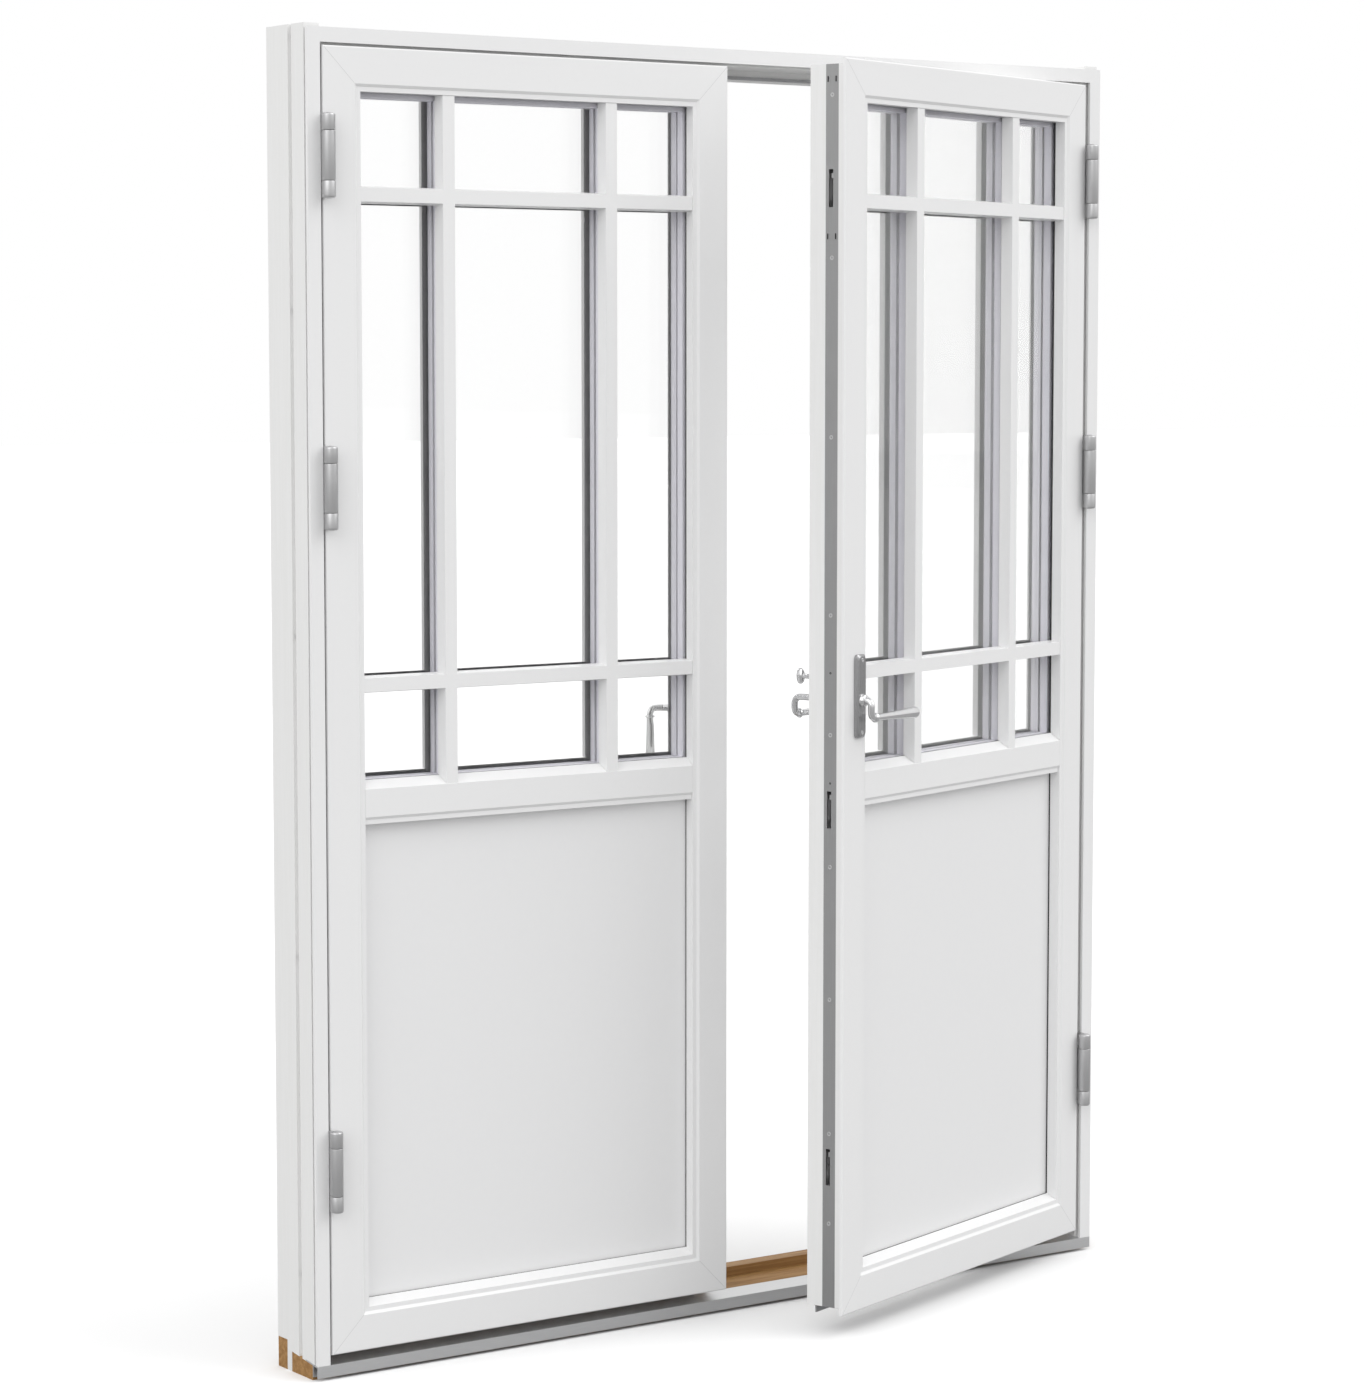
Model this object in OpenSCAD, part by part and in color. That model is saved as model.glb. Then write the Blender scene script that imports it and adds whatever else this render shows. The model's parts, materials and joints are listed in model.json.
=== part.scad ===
// Outward-opening timber and aluminium french doors: a frame with an oak threshold, a passive
// leaf on the left and an active leaf on the right, each half glazed over a flat panel.
// Row frame: X to the right, Y into the room, Z up. The origin is under the middle of the
// threshold, on the front plane of the cladding.

/* [Overall] */
// Width of the frame over its jambs
frame_w = 1580; // [1400:10:1900]
// Height from the underside of the threshold to the top of the jambs
frame_h = 2094; // [2000:2:2520]
// Depth from the front plane to the room face of the frame
frame_depth = 126; // [116:1:160]
// How far the jambs stand above the head
horn = 6; // [0:1:20]
// Angle at which the active leaf stands open at rest
open_angle = 19.7; // [0:0.1:90]

/* [Frame] */
// Visible width of the frame cladding
frame_face = 22.7; // [16:0.1:40]
// Distance from the front plane to the frame and leaf timber
stand_off = 10; // [8:0.5:16]
// How far the frame timber reaches inside the edge of its cladding
rebate_lap = 4; // [1:0.5:8]
// Clear width that the stop covers over the leaf timber
stop_lap = 6.5; // [3:0.5:12]
// Thickness of the seal between the leaf and the stop
seal_t = 5; // [3:0.5:8]
// Width of the groove down the outside of each jamb
groove_w = 10.6; // [6:0.2:16]
// Depth of that groove
groove_d = 6; // [3:0.5:10]
// Front edge of that groove
groove_y = 48.4; // [30:0.2:60]
// Wall of the aluminium cladding
sheet = 2; // [1.4:0.1:2.4]

/* [Threshold] */
// Height of the oak riser at the back
riser_h = 48; // [40:1:60]
// Depth of the oak riser
riser_t = 30; // [22:1:36]
// Width of the insulating strip between the two oak pieces
break_t = 14.5; // [8:0.5:18]
// Height of the front oak piece at its back edge
oak_back_h = 31.8; // [26:0.2:36]
// Height of the front oak piece at its front edge
oak_front_h = 23.3; // [18:0.2:26]
// Distance from the front plane to the front oak piece
oak_y = 16; // [10:1:24]
// Depth of the aluminium nose over the oak
nose_depth = 38; // [26:1:48]
// Gap under the nose
nose_lift = 5; // [2:0.5:9]

/* [Leaves] */
// Gap between the frame cladding and the leaf cladding
leaf_gap = 4.3; // [3:0.1:8]
// Gap between the two leaves
meeting_gap = 4.6; // [4:0.1:8]
// Distance from the middle of the frame to the middle of that gap, to the left
meeting_shift = 5.3; // [0:0.1:12]
// Height of the underside of the leaves
leaf_bottom = 38.5; // [36:0.5:46]
// Thickness of each leaf over its cladding
leaf_t = 73; // [73:1:80]
// How far the leaf timber lies inside the edge of its cladding
timber_inset = 8.5; // [7:0.5:12]
// The same at the meeting edge of the passive leaf
meeting_inset = 1.5; // [1:0.5:3]
// Visible width of the cladding face
face_w = 56; // [54:0.5:62]
// Width of the bevel inside that face
bevel_w = 4.4; // [2:0.2:8]
// Depth of that bevel
bevel_d = 3.1; // [2:0.1:5]
// Width of the flat bead inside the bevel
bead_w = 7; // [4:0.5:10]
// Underside of the middle rail's face
mid_bottom = 878; // [600:1:1000]
// Height of the middle rail's face
mid_face = 43.5; // [40:0.5:90]
// Width of the slope at the foot of the glass
glass_slope = 13; // [8:0.5:18]
// Width of the slope at the foot of the panel
panel_slope = 10; // [6:0.5:14]

/* [Glazing] */
// Distance from the front plane to the glass
glass_y = 24; // [20:0.5:26]
// Thickness of one glass sheet
sheet_glass = 4; // [3:0.5:4]
// Width of each of the two gas spaces
cavity = 14; // [10:1:14]
// Distance between the centres of the two upright glazing bars
bar_pitch = 304; // [200:1:340]
// Distance from the top of the clear glass to the upper cross bar
bar_top = 156; // [100:1:400]
// Distance from the foot of the clear glass to the lower cross bar
bar_foot = 149; // [100:1:400]
// Width of a glazing bar on its face
bar_face = 21.5; // [16:0.5:28]
// Width of a glazing bar on the glass
bar_base = 27; // [22:0.5:34]
// Distance from the front plane to the face of the outer glazing bars
bar_y = 4; // [2:0.5:8]

/* [Hinges] */
// Distance from the front plane to the hinge axis
axis_out = 15; // [14:0.5:20]
// Distance from the leaf's edge to the hinge axis
axis_in = 1.5; // [0.5:0.5:3]
// Diameter of the hinge knuckles
knuckle_d = 20; // [18:0.5:22]
// Length of a whole hinge
hinge_len = 128; // [100:1:150]
// Length of each outer knuckle
knuckle_end = 26; // [20:1:34]
// Diameter of the hinge pins
pin_d = 8; // [6:0.5:10]
// Radial clearance of a turning fit
running_gap = 0.05; // [0.02:0.01:0.1]
// Height of the middle of the lowest hinge
hinge_low = 331; // [260:1:400]
// Height of the middle of the middle hinge
hinge_mid = 1390; // [1000:1:1500]
// Distance from the top of the jambs to the middle of the top hinge
hinge_drop = 200; // [160:1:260]

/* [Lock and handles] */
// Distance from the leaf's meeting edge to the spindle
backset = 42.5; // [41:0.5:43]
// Height of the active leaf's spindle
spindle_z = 1040; // [1020:1:1060]
// Height of the passive leaf's spindle
passive_spindle_z = 1008; // [980:1:1060]
// Height of the thumb turn above the spindle
thumb_rise = 34; // [32:1:44]
// Width of a backplate
plate_w = 26; // [22:0.5:28]
// Height of a backplate
plate_h = 135; // [120:1:150]
// Thickness of a backplate
plate_t = 8; // [6:0.5:10]
// Height of the backplate's middle above the spindle
plate_rise = 6.5; // [0:0.5:16]
// How far the outer grip's axis stands off its backplate
outer_reach = 17; // [16:1:40]
// The same for the two inner levers
inner_reach = 42; // [30:1:52]
// Drop from the spindle to the grip's axis
lever_drop = 28; // [14:1:34]
// Length of the grip
grip_len = 138; // [90:1:144]
// Distance from the inner backplate to the end of the thumb turn
thumb_reach = 37; // [26:1:44]
// Length of a hook from its pivot
hook_len = 40; // [38:0.5:42]
// Travel of the locking rod
rod_travel = 18; // [10:1:24]
// Travel of the shoot bolts
bolt_travel = 34; // [30:1:36]
// Diameter of the shoot bolts
bolt_d = 10; // [8:0.5:12]

/* [Fixings] */
// Diameter of the frame fixing holes in the jambs' grooves
fix_d = 10; // [8:0.5:10]
// Height of the lowest frame fixing hole
fix_z = 160; // [120:5:200]
// Distance between the frame fixing holes
fix_pitch = 500; // [460:5:500]

/* [Hidden] */
$fn = 48;

// A cut runs this far past the face that it opens.
past = 1;
// Air left between two pieces that don't touch.
air = 0.3;
// Longer than any cut needs to be.
far = 3000;

// Colours
timber_white = [0.93, 0.93, 0.93];
coat_white = [0.97, 0.97, 0.97];
panel_white = [0.95, 0.95, 0.95];
strip_white = [0.9, 0.9, 0.9];
oak_riser = [0.58, 0.42, 0.25];
oak_front = [0.62, 0.46, 0.28];
nose_grey = [0.68, 0.69, 0.7];
seal_grey = [0.75, 0.75, 0.75];
seal_black = [0.12, 0.12, 0.12];
glass_tint = [0.85, 0.92, 0.95, 0.35];
spacer_grey = [0.7, 0.7, 0.74];
steel = [0.7, 0.7, 0.71];
moving_steel = [0.76, 0.76, 0.77];
hinge_grey = [0.6, 0.6, 0.6];

// Frame
half_w = frame_w / 2;
head_top = frame_h - horn;
clad_x = half_w - frame_face;
clad_z = head_top - frame_face;
rebate_x = clad_x - rebate_lap;
rebate_z = clad_z - rebate_lap;
leaf_x = clad_x - leaf_gap;
leaf_top = clad_z - leaf_gap;
stop_y = leaf_t + seal_t;
stop_x = leaf_x - timber_inset - stop_lap;
stop_z = leaf_top - timber_inset - stop_lap;
groove_mid = groove_y + groove_w / 2;
fix_count = 4;
clip_t = 1.5;
clip_shares = [0.3, 0.7];
seal_back = 1;
screw_d = 5;
screw_head_d = 10;
screw_head_t = 3;
screw_len = 70;
head_screw_z = (rebate_z + head_top) / 2;
sill_screw_x = half_w - frame_face + 2;
sill_screw_ys = [60, frame_depth - riser_t / 2];

// Threshold
riser_y = frame_depth - riser_t;
break_y = riser_y - break_t;
oak_rise = (oak_back_h - oak_front_h) / (break_y - oak_y);
nose_t = 2.5;
tongue_t = 5;

// Leaves
passive_w = leaf_x - meeting_shift - meeting_gap / 2;
active_w = leaf_x + meeting_shift - meeting_gap / 2;
pivot_x = leaf_x - axis_in;
reveal = face_w + bevel_w + bead_w;
gasket_t = 2.5;
reveal_y = glass_y - gasket_t;
unit_t = 3 * sheet_glass + 2 * cavity;
unit_back = glass_y + unit_t;
edge_cover = 9.5;
pane_in = reveal - edge_cover;
pane_play = 3;
pane_seat = 0.5;
pane_head = 5.5;
stile_w = pane_in - pane_play;
mid_top = mid_bottom + mid_face;
glass_foot = mid_top + glass_slope;
panel_foot = leaf_bottom + reveal + panel_slope;
panel_head = mid_bottom - bevel_w - bead_w;
glass_head = leaf_top - reveal;
glass_z0 = mid_top + pane_seat;
glass_z1 = glass_head + pane_head;
panel_lap = 4;
panel_z0 = panel_foot - edge_cover - panel_lap;
panel_z1 = panel_head + edge_cover;
rail_low = leaf_bottom + timber_inset + 1;
stile_top = leaf_top - timber_inset;
bead_in = 19;
bead_edge = 2;
lip_d = 6;
edge_r = 2.5;
edge_step = 18;
clip_in = 8;
gasket_lap = 3;

// Glazing
bar_zs = [glass_foot + bar_foot, glass_head - bar_top];
spacer_w = 12;
spacer_play = 1;
inner_bar_t = 12;
bar_back = unit_back + inner_bar_t;

// Sweeps, astragal and meeting seal
sweep_in = timber_inset + 12;
sweep_y = 60;
sweep_t = 8;
sweep_h = 4;
blade_t = 2;
blade_gap = 1;
blade_root = 0.5;
astragal_in = 27;
astragal_out = 18;
astragal_y = 94;
astragal_gap = 3.5;
astragal_ease = 6;
astragal_foot = riser_h + 4;
astragal_top = stop_z - 2;
meeting_seal_w = 8;
meeting_seal_in = 2;

// Lock
face_t = 3;
face_plate_w = 24;
face_y = 31.6;
groove_in = timber_inset + face_t;
hook_y = 33.5;
hook_t = 5;
hook_pivot = 25.5;
hook_pin_d = 6;
hook_hub_r = 7;
hook_bar_w = 9;
hook_nose = 12;
hook_nose_h = 8;
hook_zs = [263, 847, 1841];
case_w = 10;
case_low = 16;
case_high = 50;
case_deep = 35;
case_wall = 2;
slot_w = 8;
slot_low = 14;
slot_spare = 6;
gear_w = 14;
gear_y = 35.6;
gear_low = 60;
gear_high = 74;
gear_deep = stile_w - 3;
follower_d = 18;
square_w = 8;
bore_room = 2;
rod_y = 24.4;
rod_t = 3.6;
rod_deep = 5;
rod_low = hook_zs[0] - 30;
rod_high = hook_zs[2] + 20;
strike_h = 110;
strike_low = 18;
strike_high = 12;
strike_deep = 14;

// Handles
plate_r = 7;
spindle_hole = square_w * 1.5;
seat_in = 2;
neck_d = 12;
hub_d = 21;
hub_t = 8;
hub_core = hub_t - 2;
ring_d = neck_d + 2;
ring_len = 10;
ring_step = 1;
ring_taper = 4;
grip_r = 10;
grip_step = 15;
thumb_d = 7;
thumb_w = 11;
thumb_h = 26;
thumb_t = 13;
thumb_end = leaf_t + plate_t + thumb_reach;
thumb_ring_d = 15;
thumb_ring_t = 5;

// Shoot bolts
bolt_in = 22;
bolt_y = 52;
bolt_back = 21;
bolt_top = rebate_z - bolt_back;
bolt_foot = oak_back_h + 20;
passive_gear_t = 14;
keep_t = 3;
keep_w = 40;
keep_air = 0.3;
keep_spare = 8;
keep_foot = 8;
keep_low_top = oak_top(bolt_y - face_plate_w / 2);

// Hinges
hinge_zs = [hinge_low, hinge_mid, frame_h - hinge_drop];
arm_t = 2.6;
arm_clear = 0.5;
arm_x = clad_x - arm_clear - arm_t;
arm_deep = 42;
knuckle_gap = 0.4;
leaf_knuckle_h = hinge_len - 2 * knuckle_end - 2 * knuckle_gap;

// ---------------------------------------------------------------- placing and shared shapes

// Puts a leaf drawn from its hinge edge (x = 0) to its meeting edge on the left side.
module on_passive() {
    translate([-leaf_x, 0, 0]) children();
}

// Puts a leaf drawn the same way on the right side, turned open about its hinge axis.
module on_active() {
    translate([pivot_x, -axis_out, 0])
        rotate([0, 0, open_angle])
            translate([leaf_x - pivot_x, axis_out, 0])
                mirror([1, 0, 0]) children();
}

module box(x0, y0, z0, x1, y1, z1) {
    translate([x0, y0, z0]) cube([x1 - x0, y1 - y0, z1 - z0]);
}

// Extrudes an outline drawn in (Y, Z) along X.
module along_x(x0, x1) {
    translate([x0, 0, 0]) rotate([90, 0, 90]) linear_extrude(x1 - x0) children();
}

// A round bar along Y.
module bar_y_axis(x, z, y0, y1, d) {
    translate([x, y0, z]) rotate([-90, 0, 0]) cylinder(d = d, h = y1 - y0);
}

// One side of a mitred frame: an outline in (inward, depth), cut at 45 degrees at both ends.
module mitred_side(length, wide) {
    intersection() {
        linear_extrude(length) children();
        translate([0, frame_depth, 0]) rotate([90, 0, 0])
            linear_extrude(2 * frame_depth)
                polygon([[0, 0], [wide, wide], [wide, length - wide], [0, length]]);
    }
}

// A four-sided mitred frame inside the rectangle from (x0, z0) to (x1, z1).
module mitred_ring(x0, z0, x1, z1, wide) {
    translate([x0, 0, z0]) mitred_side(z1 - z0, wide) children();
    translate([x1, 0, z0]) mirror([1, 0, 0]) mitred_side(z1 - z0, wide) children();
    translate([x0, 0, z0]) mirror([1, 0, -1]) mitred_side(x1 - x0, wide) children();
    translate([x0, 0, z1]) mirror([0, 0, 1]) mirror([1, 0, -1]) mitred_side(x1 - x0, wide)
        children();
}

// A flat rectangular ring of the given depth.
module flat_ring(x0, z0, x1, z1, wide_x, wide_z, y0, y1) {
    difference() {
        box(x0, y0, z0, x1, y1, z1);
        box(x0 + wide_x, y0 - past, z0 + wide_z, x1 - wide_x, y1 + past, z1 - wide_z);
    }
}

// ---------------------------------------------------------------- threshold

// Height of the front oak piece's top at a given depth.
function oak_top(y) = oak_front_h + oak_rise * (y - oak_y);

module nose_outline() {
    polygon([
        [0, nose_lift], [sheet, nose_lift], [sheet, oak_top(sheet)],
        [oak_y - sheet, oak_top(oak_y - sheet)], [oak_y - sheet, nose_lift], [oak_y, nose_lift],
        [oak_y, oak_top(oak_y)], [nose_depth, oak_top(nose_depth)],
        [nose_depth, oak_top(nose_depth) + nose_t], [0, oak_top(0) + nose_t]]);
}

module threshold_rear() {
    color(oak_riser) difference() {
        box(-half_w, riser_y, 0, half_w, frame_depth - past, riser_h);
        sill_screws(screw_d);
    }
}

// The insulating strip, let down between the jambs for the tongue of the front oak piece.
module threshold_break() {
    color(strip_white) difference() {
        box(-half_w, break_y, 0, half_w, riser_y, oak_back_h);
        box(-stop_x, break_y - past, oak_back_h - tongue_t, stop_x, riser_y + past, far);
    }
}

module threshold_front() {
    color(oak_front) difference() {
        union() {
            along_x(-half_w, half_w)
                polygon([[oak_y, 0], [break_y, 0], [break_y, oak_back_h], [oak_y, oak_front_h]]);
            box(-stop_x + air, break_y - past, oak_back_h - tongue_t, stop_x - air, riser_y,
                oak_back_h - oak_rise * past);
        }
        sill_screws(screw_d);
        lower_keep_pocket();
        translate([-leaf_x + passive_w - bolt_in, bolt_y, keep_foot])
            cylinder(d = bolt_d + 2 * keep_air, h = far);
    }
}

module threshold_nose() {
    color(nose_grey) along_x(-half_w, half_w) nose_outline();
}

// Everything that the foot of a jamb stands on.
module threshold_space() {
    along_x(-half_w - past, half_w + past)
        polygon([[-past, -past], [frame_depth + past, -past], [frame_depth + past, riser_h],
                 [riser_y, riser_h], [riser_y, oak_back_h], [break_y, oak_back_h],
                 [nose_depth, oak_top(nose_depth)], [nose_depth, oak_top(nose_depth) + nose_t],
                 [-past, oak_top(-past) + nose_t]]);
}

// ---------------------------------------------------------------- frame timber

// A screw up along Z, with its head at the bottom.
module screw(d, length) {
    cylinder(d = d, h = length);
    cylinder(d = screw_head_d, h = screw_head_t);
}

// The screws from the jambs' grooves into the head, at the given shank diameter.
module head_screws(d) {
    for (side = [-1, 1])
        translate([side * (half_w - groove_d), groove_mid, head_screw_z])
            rotate([0, -90 * side, 0]) screw(d, screw_len);
}

// The screws up through the threshold into the jambs.
module sill_screws(d) {
    for (side = [-1, 1], y = sill_screw_ys)
        translate([side * sill_screw_x, y, 0]) screw(d, screw_len + riser_h / 2);
}

module jamb_outline() {
    difference() {
        polygon([[rebate_x, stand_off], [half_w, stand_off], [half_w, frame_depth],
                 [stop_x, frame_depth], [stop_x, stop_y], [rebate_x, stop_y]]);
        translate([half_w - groove_d, groove_y]) square([groove_d + past, groove_w]);
    }
}

// The right jamb.
module jamb() {
    difference() {
        linear_extrude(frame_h) jamb_outline();
        threshold_space();
        for (i = [0 : fix_count - 1])
            translate([stop_x - past, groove_mid, fix_z + i * fix_pitch]) rotate([0, 90, 0])
                cylinder(d = fix_d, h = far);
        for (z = hinge_zs, end = [-1, 1])
            hinge_mortise(z + end * (hinge_len - knuckle_end) / 2, knuckle_end);
        head_screws(screw_d);
        sill_screws(screw_d);
    }
}

module hinge_mortise(z, h) {
    box(rebate_x - past, stand_off - past, z - h / 2, clad_x - air, arm_deep, z + h / 2);
}

module jamb_right() {
    color(timber_white) jamb();
}

module jamb_left() {
    color(timber_white) mirror([1, 0, 0]) jamb();
}

module head() {
    color(timber_white) difference() {
        along_x(-half_w, half_w)
            polygon([[stand_off, rebate_z], [stop_y, rebate_z], [stop_y, stop_z],
                     [frame_depth, stop_z], [frame_depth, head_top], [stand_off, head_top]]);
        for (side = [0, 1]) mirror([side, 0, 0]) {
            translate([0, 0, stop_z - past]) linear_extrude(far) jamb_solid_outline();
        }
        head_screws(screw_d);
        upper_keep_pocket();
        translate([-leaf_x + passive_w - bolt_in, bolt_y, rebate_z - past])
            cylinder(d = bolt_d + 2 * keep_air, h = bolt_travel - bolt_back + keep_spare + past);
    }
}

module jamb_solid_outline() {
    polygon([[rebate_x, 0], [far, 0], [far, far], [stop_x, far], [stop_x, stop_y],
             [rebate_x, stop_y]]);
}

module corner_screws() {
    color(steel) {
        head_screws(screw_d);
        sill_screws(screw_d);
    }
}

// ---------------------------------------------------------------- frame cladding and seal

// The frame cladding's outline in (inward from the frame's outer edge, depth).
module frame_clad_outline() {
    difference() {
        square([frame_face, lip_d]);
        translate([sheet, sheet]) square([frame_face - 2 * sheet, lip_d]);
    }
    for (share = clip_shares)
        translate([frame_face * share, sheet / 2]) square([clip_t, stand_off - sheet / 2]);
}

// A jamb's cladding, mitred at the top.
module jamb_clad() {
    intersection() {
        translate([-half_w, 0, 0]) difference() {
            linear_extrude(head_top) frame_clad_outline();
            translate([half_w, 0, 0]) threshold_space();
        }
        translate([-half_w, frame_depth, 0]) rotate([90, 0, 0]) linear_extrude(2 * frame_depth)
            polygon([[0, -past], [frame_face, -past], [frame_face, clad_z], [0, head_top]]);
    }
}

module cladding_left() {
    color(coat_white) jamb_clad();
}

module cladding_right() {
    color(coat_white) mirror([1, 0, 0]) jamb_clad();
}

module cladding_head() {
    color(coat_white)
        translate([-half_w, 0, head_top]) mirror([0, 0, 1]) mirror([1, 0, -1])
            mitred_side(frame_w, frame_face) frame_clad_outline();
}

module frame_seal() {
    color(seal_grey) difference() {
        box(-stop_x - stop_lap + seal_back, leaf_t + air, riser_h + past,
            stop_x + stop_lap - seal_back, stop_y, stop_z + stop_lap - seal_back);
        box(-stop_x, 0, 0, stop_x, stop_y + past, stop_z);
    }
}

// ---------------------------------------------------------------- hinges

// A knuckle of the right-hand side, with its arm. The bore is pin_d plus the given gap.
module knuckle(z, h, gap) {
    difference() {
        union() {
            translate([pivot_x, -axis_out, z]) cylinder(d = knuckle_d, h = h, center = true);
            children();
        }
        translate([pivot_x, -axis_out, z])
            cylinder(d = pin_d + 2 * gap, h = far, center = true);
    }
}

module frame_arm(z) {
    knuckle(z, knuckle_end, 0)
        box(arm_x, -axis_out, z - knuckle_end / 2, arm_x + arm_t, arm_deep,
            z + knuckle_end / 2);
}

module hinge_frame_arms() {
    color(hinge_grey)
        for (side = [0, 1], z = hinge_zs, end = [-1, 1])
            mirror([side, 0, 0]) frame_arm(z + end * (hinge_len - knuckle_end) / 2);
}

module hinge_pins() {
    color(steel)
        for (side = [-1, 1], z = hinge_zs)
            translate([side * pivot_x, -axis_out, z])
                cylinder(d = pin_d, h = hinge_len, center = true);
}

// Drawn in leaf coordinates: the arm turns behind the cladding and down the timber's edge.
module leaf_arms() {
    for (z = hinge_zs)
        translate([leaf_x, 0, 0]) mirror([1, 0, 0])
            knuckle(z, leaf_knuckle_h, running_gap) {
                box(arm_x, -axis_out, z - leaf_knuckle_h / 2, arm_x + arm_t, lip_d + air + arm_t,
                    z + leaf_knuckle_h / 2);
                box(leaf_x - timber_inset, lip_d + air, z - leaf_knuckle_h / 2, arm_x + arm_t,
                    lip_d + air + arm_t, z + leaf_knuckle_h / 2);
                box(leaf_x - timber_inset, lip_d + air, z - leaf_knuckle_h / 2,
                    leaf_x - timber_inset + arm_t, arm_deep, z + leaf_knuckle_h / 2);
            }
}

module passive_hinge_arms() {
    color(hinge_grey) on_passive() leaf_arms();
}

module active_hinge_arms() {
    color(hinge_grey) on_active() leaf_arms();
}

// ---------------------------------------------------------------- leaf timber

module stiles(w, meeting) {
    box(timber_inset, stand_off, rail_low, stile_w, leaf_t, stile_top);
    difference() {
        box(w - stile_w, stand_off, rail_low, w - meeting, leaf_t, stile_top);
        translate([w, 0, 0]) mirror([1, 0, 0]) children();
    }
}

module rails(w) {
    box(stile_w, stand_off, rail_low, w - stile_w, leaf_t, panel_z0 - pane_play);
    box(stile_w, glass_y, mid_bottom, w - stile_w, leaf_t, mid_top);
    box(reveal + air, stand_off, mid_bottom, w - reveal - air, glass_y + past, mid_top);
    box(stile_w, stand_off, leaf_top - stile_w, w - stile_w, leaf_t, stile_top);
}

// Cuts in the active leaf's lock stile, in (inward from the meeting edge, Y, Z).
module lock_cuts() {
    box(-past, face_y - face_plate_w / 2, 0, groove_in, face_y + face_plate_w / 2, far);
    box(-past, rod_y - air, rod_low - air, groove_in + rod_deep + air, gear_y + gear_w / 2,
        rod_high + rod_travel + air);
    box(-past, gear_y - gear_w / 2 - air, spindle_z - gear_low - air, gear_deep + air,
        gear_y + gear_w / 2 + air, spindle_z + gear_high + air);
    for (z = hook_zs)
        box(-past, hook_y - case_w / 2 - air, z - case_low - air, case_deep + air,
            hook_y + case_w / 2 + air, z + case_high + air);
    bar_y_axis(backset, spindle_z, 0, leaf_t + past, follower_d + bore_room);
    bar_y_axis(backset, spindle_z + thumb_rise, gear_y, leaf_t + past, thumb_d + bore_room);
}

// Cuts in the passive leaf's meeting stile.
module bolt_cuts() {
    box(-past, bolt_y - passive_gear_t / 2 - air, passive_spindle_z - gear_low - air,
        gear_deep + air, bolt_y + passive_gear_t / 2 + air, passive_spindle_z + gear_high + air);
    translate([bolt_in, bolt_y, 0]) cylinder(d = bolt_d + 2 * keep_air, h = far);
    bar_y_axis(backset, passive_spindle_z, bolt_y, leaf_t + past, follower_d + bore_room);
    for (z = hook_zs) {
        box(-past, face_y - face_plate_w / 2, z - strike_h / 2, meeting_inset + face_t,
            face_y + face_plate_w / 2, z + strike_h / 2);
        box(-past, hook_y - case_w / 2, z - strike_low, strike_deep, hook_y + case_w / 2,
            z + strike_high);
    }
}

module passive_stiles() {
    color(timber_white) on_passive() stiles(passive_w, meeting_inset) bolt_cuts();
}

module passive_rails() {
    color(timber_white) on_passive() rails(passive_w);
}

module active_stiles() {
    color(timber_white) on_active() stiles(active_w, timber_inset) lock_cuts();
}

module active_rails() {
    color(timber_white) on_active() rails(active_w);
}

// ---------------------------------------------------------------- leaf cladding

// The leaf cladding's outline in (inward from the leaf's edge, depth).
module leaf_clad_outline() {
    polygon(concat(
        [[0, lip_d]],
        [for (a = [0 : edge_step : 90]) [edge_r * (1 - cos(a)), edge_r * (1 - sin(a))]],
        [[face_w, 0], [face_w + bevel_w, bevel_d], [reveal, bevel_d], [reveal, reveal_y],
         [reveal - sheet, reveal_y], [reveal - sheet, bevel_d + sheet],
         [face_w + bevel_w - sheet / 3, bevel_d + sheet], [face_w - sheet / 3, sheet],
         [edge_r, sheet], [sheet, edge_r], [sheet, lip_d]]));
    for (x = [timber_inset + clip_in, stile_w - clip_in])
        translate([x, sheet / 2]) square([clip_t, stand_off - sheet / 2]);
}

// The middle rail's cladding, open at the back, in (Y, Z).
module mid_clad_outline() {
    difference() {
        polygon([[reveal_y, panel_head], [2 * bevel_d, panel_head],
                 [2 * bevel_d, mid_bottom - bevel_w], [bevel_d, mid_bottom], [bevel_d, mid_top],
                 [reveal_y, glass_foot]]);
        polygon([[reveal_y + past, panel_head + sheet], [2 * bevel_d + sheet, panel_head + sheet],
                 [2 * bevel_d + sheet, mid_bottom - bevel_w + sheet / 2],
                 [bevel_d + sheet, mid_bottom + sheet / 2], [bevel_d + sheet, mid_top - sheet / 2],
                 [reveal_y + past, glass_foot - sheet]]);
    }
    for (z = [mid_bottom + clip_in, mid_top - clip_in - clip_t])
        translate([bevel_d + sheet / 2, z]) square([stand_off - bevel_d - sheet / 2, clip_t]);
}

module cladding(w) {
    mitred_ring(0, leaf_bottom, w, leaf_top, reveal + past) leaf_clad_outline();
    along_x(reveal, w - reveal)
        polygon([[bevel_d, leaf_bottom + reveal], [reveal_y, leaf_bottom + reveal],
                 [reveal_y, panel_foot]]);
    along_x(reveal + air, w - reveal - air) mid_clad_outline();
}

module passive_cladding() {
    color(coat_white) on_passive() cladding(passive_w);
}

module active_cladding() {
    color(coat_white) on_active() difference() {
        cladding(active_w);
        bar_y_axis(active_w - backset, spindle_z, -past, stand_off + past, square_w * 1.5);
    }
}

// ---------------------------------------------------------------- glazing and panel

module gasket(w) {
    wide = sheet + gasket_lap;
    for (zs = [[glass_foot, glass_head], [panel_foot, panel_head]])
        flat_ring(reveal - wide, zs[0] - wide, w - reveal + wide, zs[1] + wide, wide, wide,
                  reveal_y, glass_y);
}

module glass(w) {
    for (i = [0:2])
        box(pane_in, glass_y + i * (sheet_glass + cavity), glass_z0, w - pane_in,
            glass_y + i * (sheet_glass + cavity) + sheet_glass, glass_z1);
}

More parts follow.
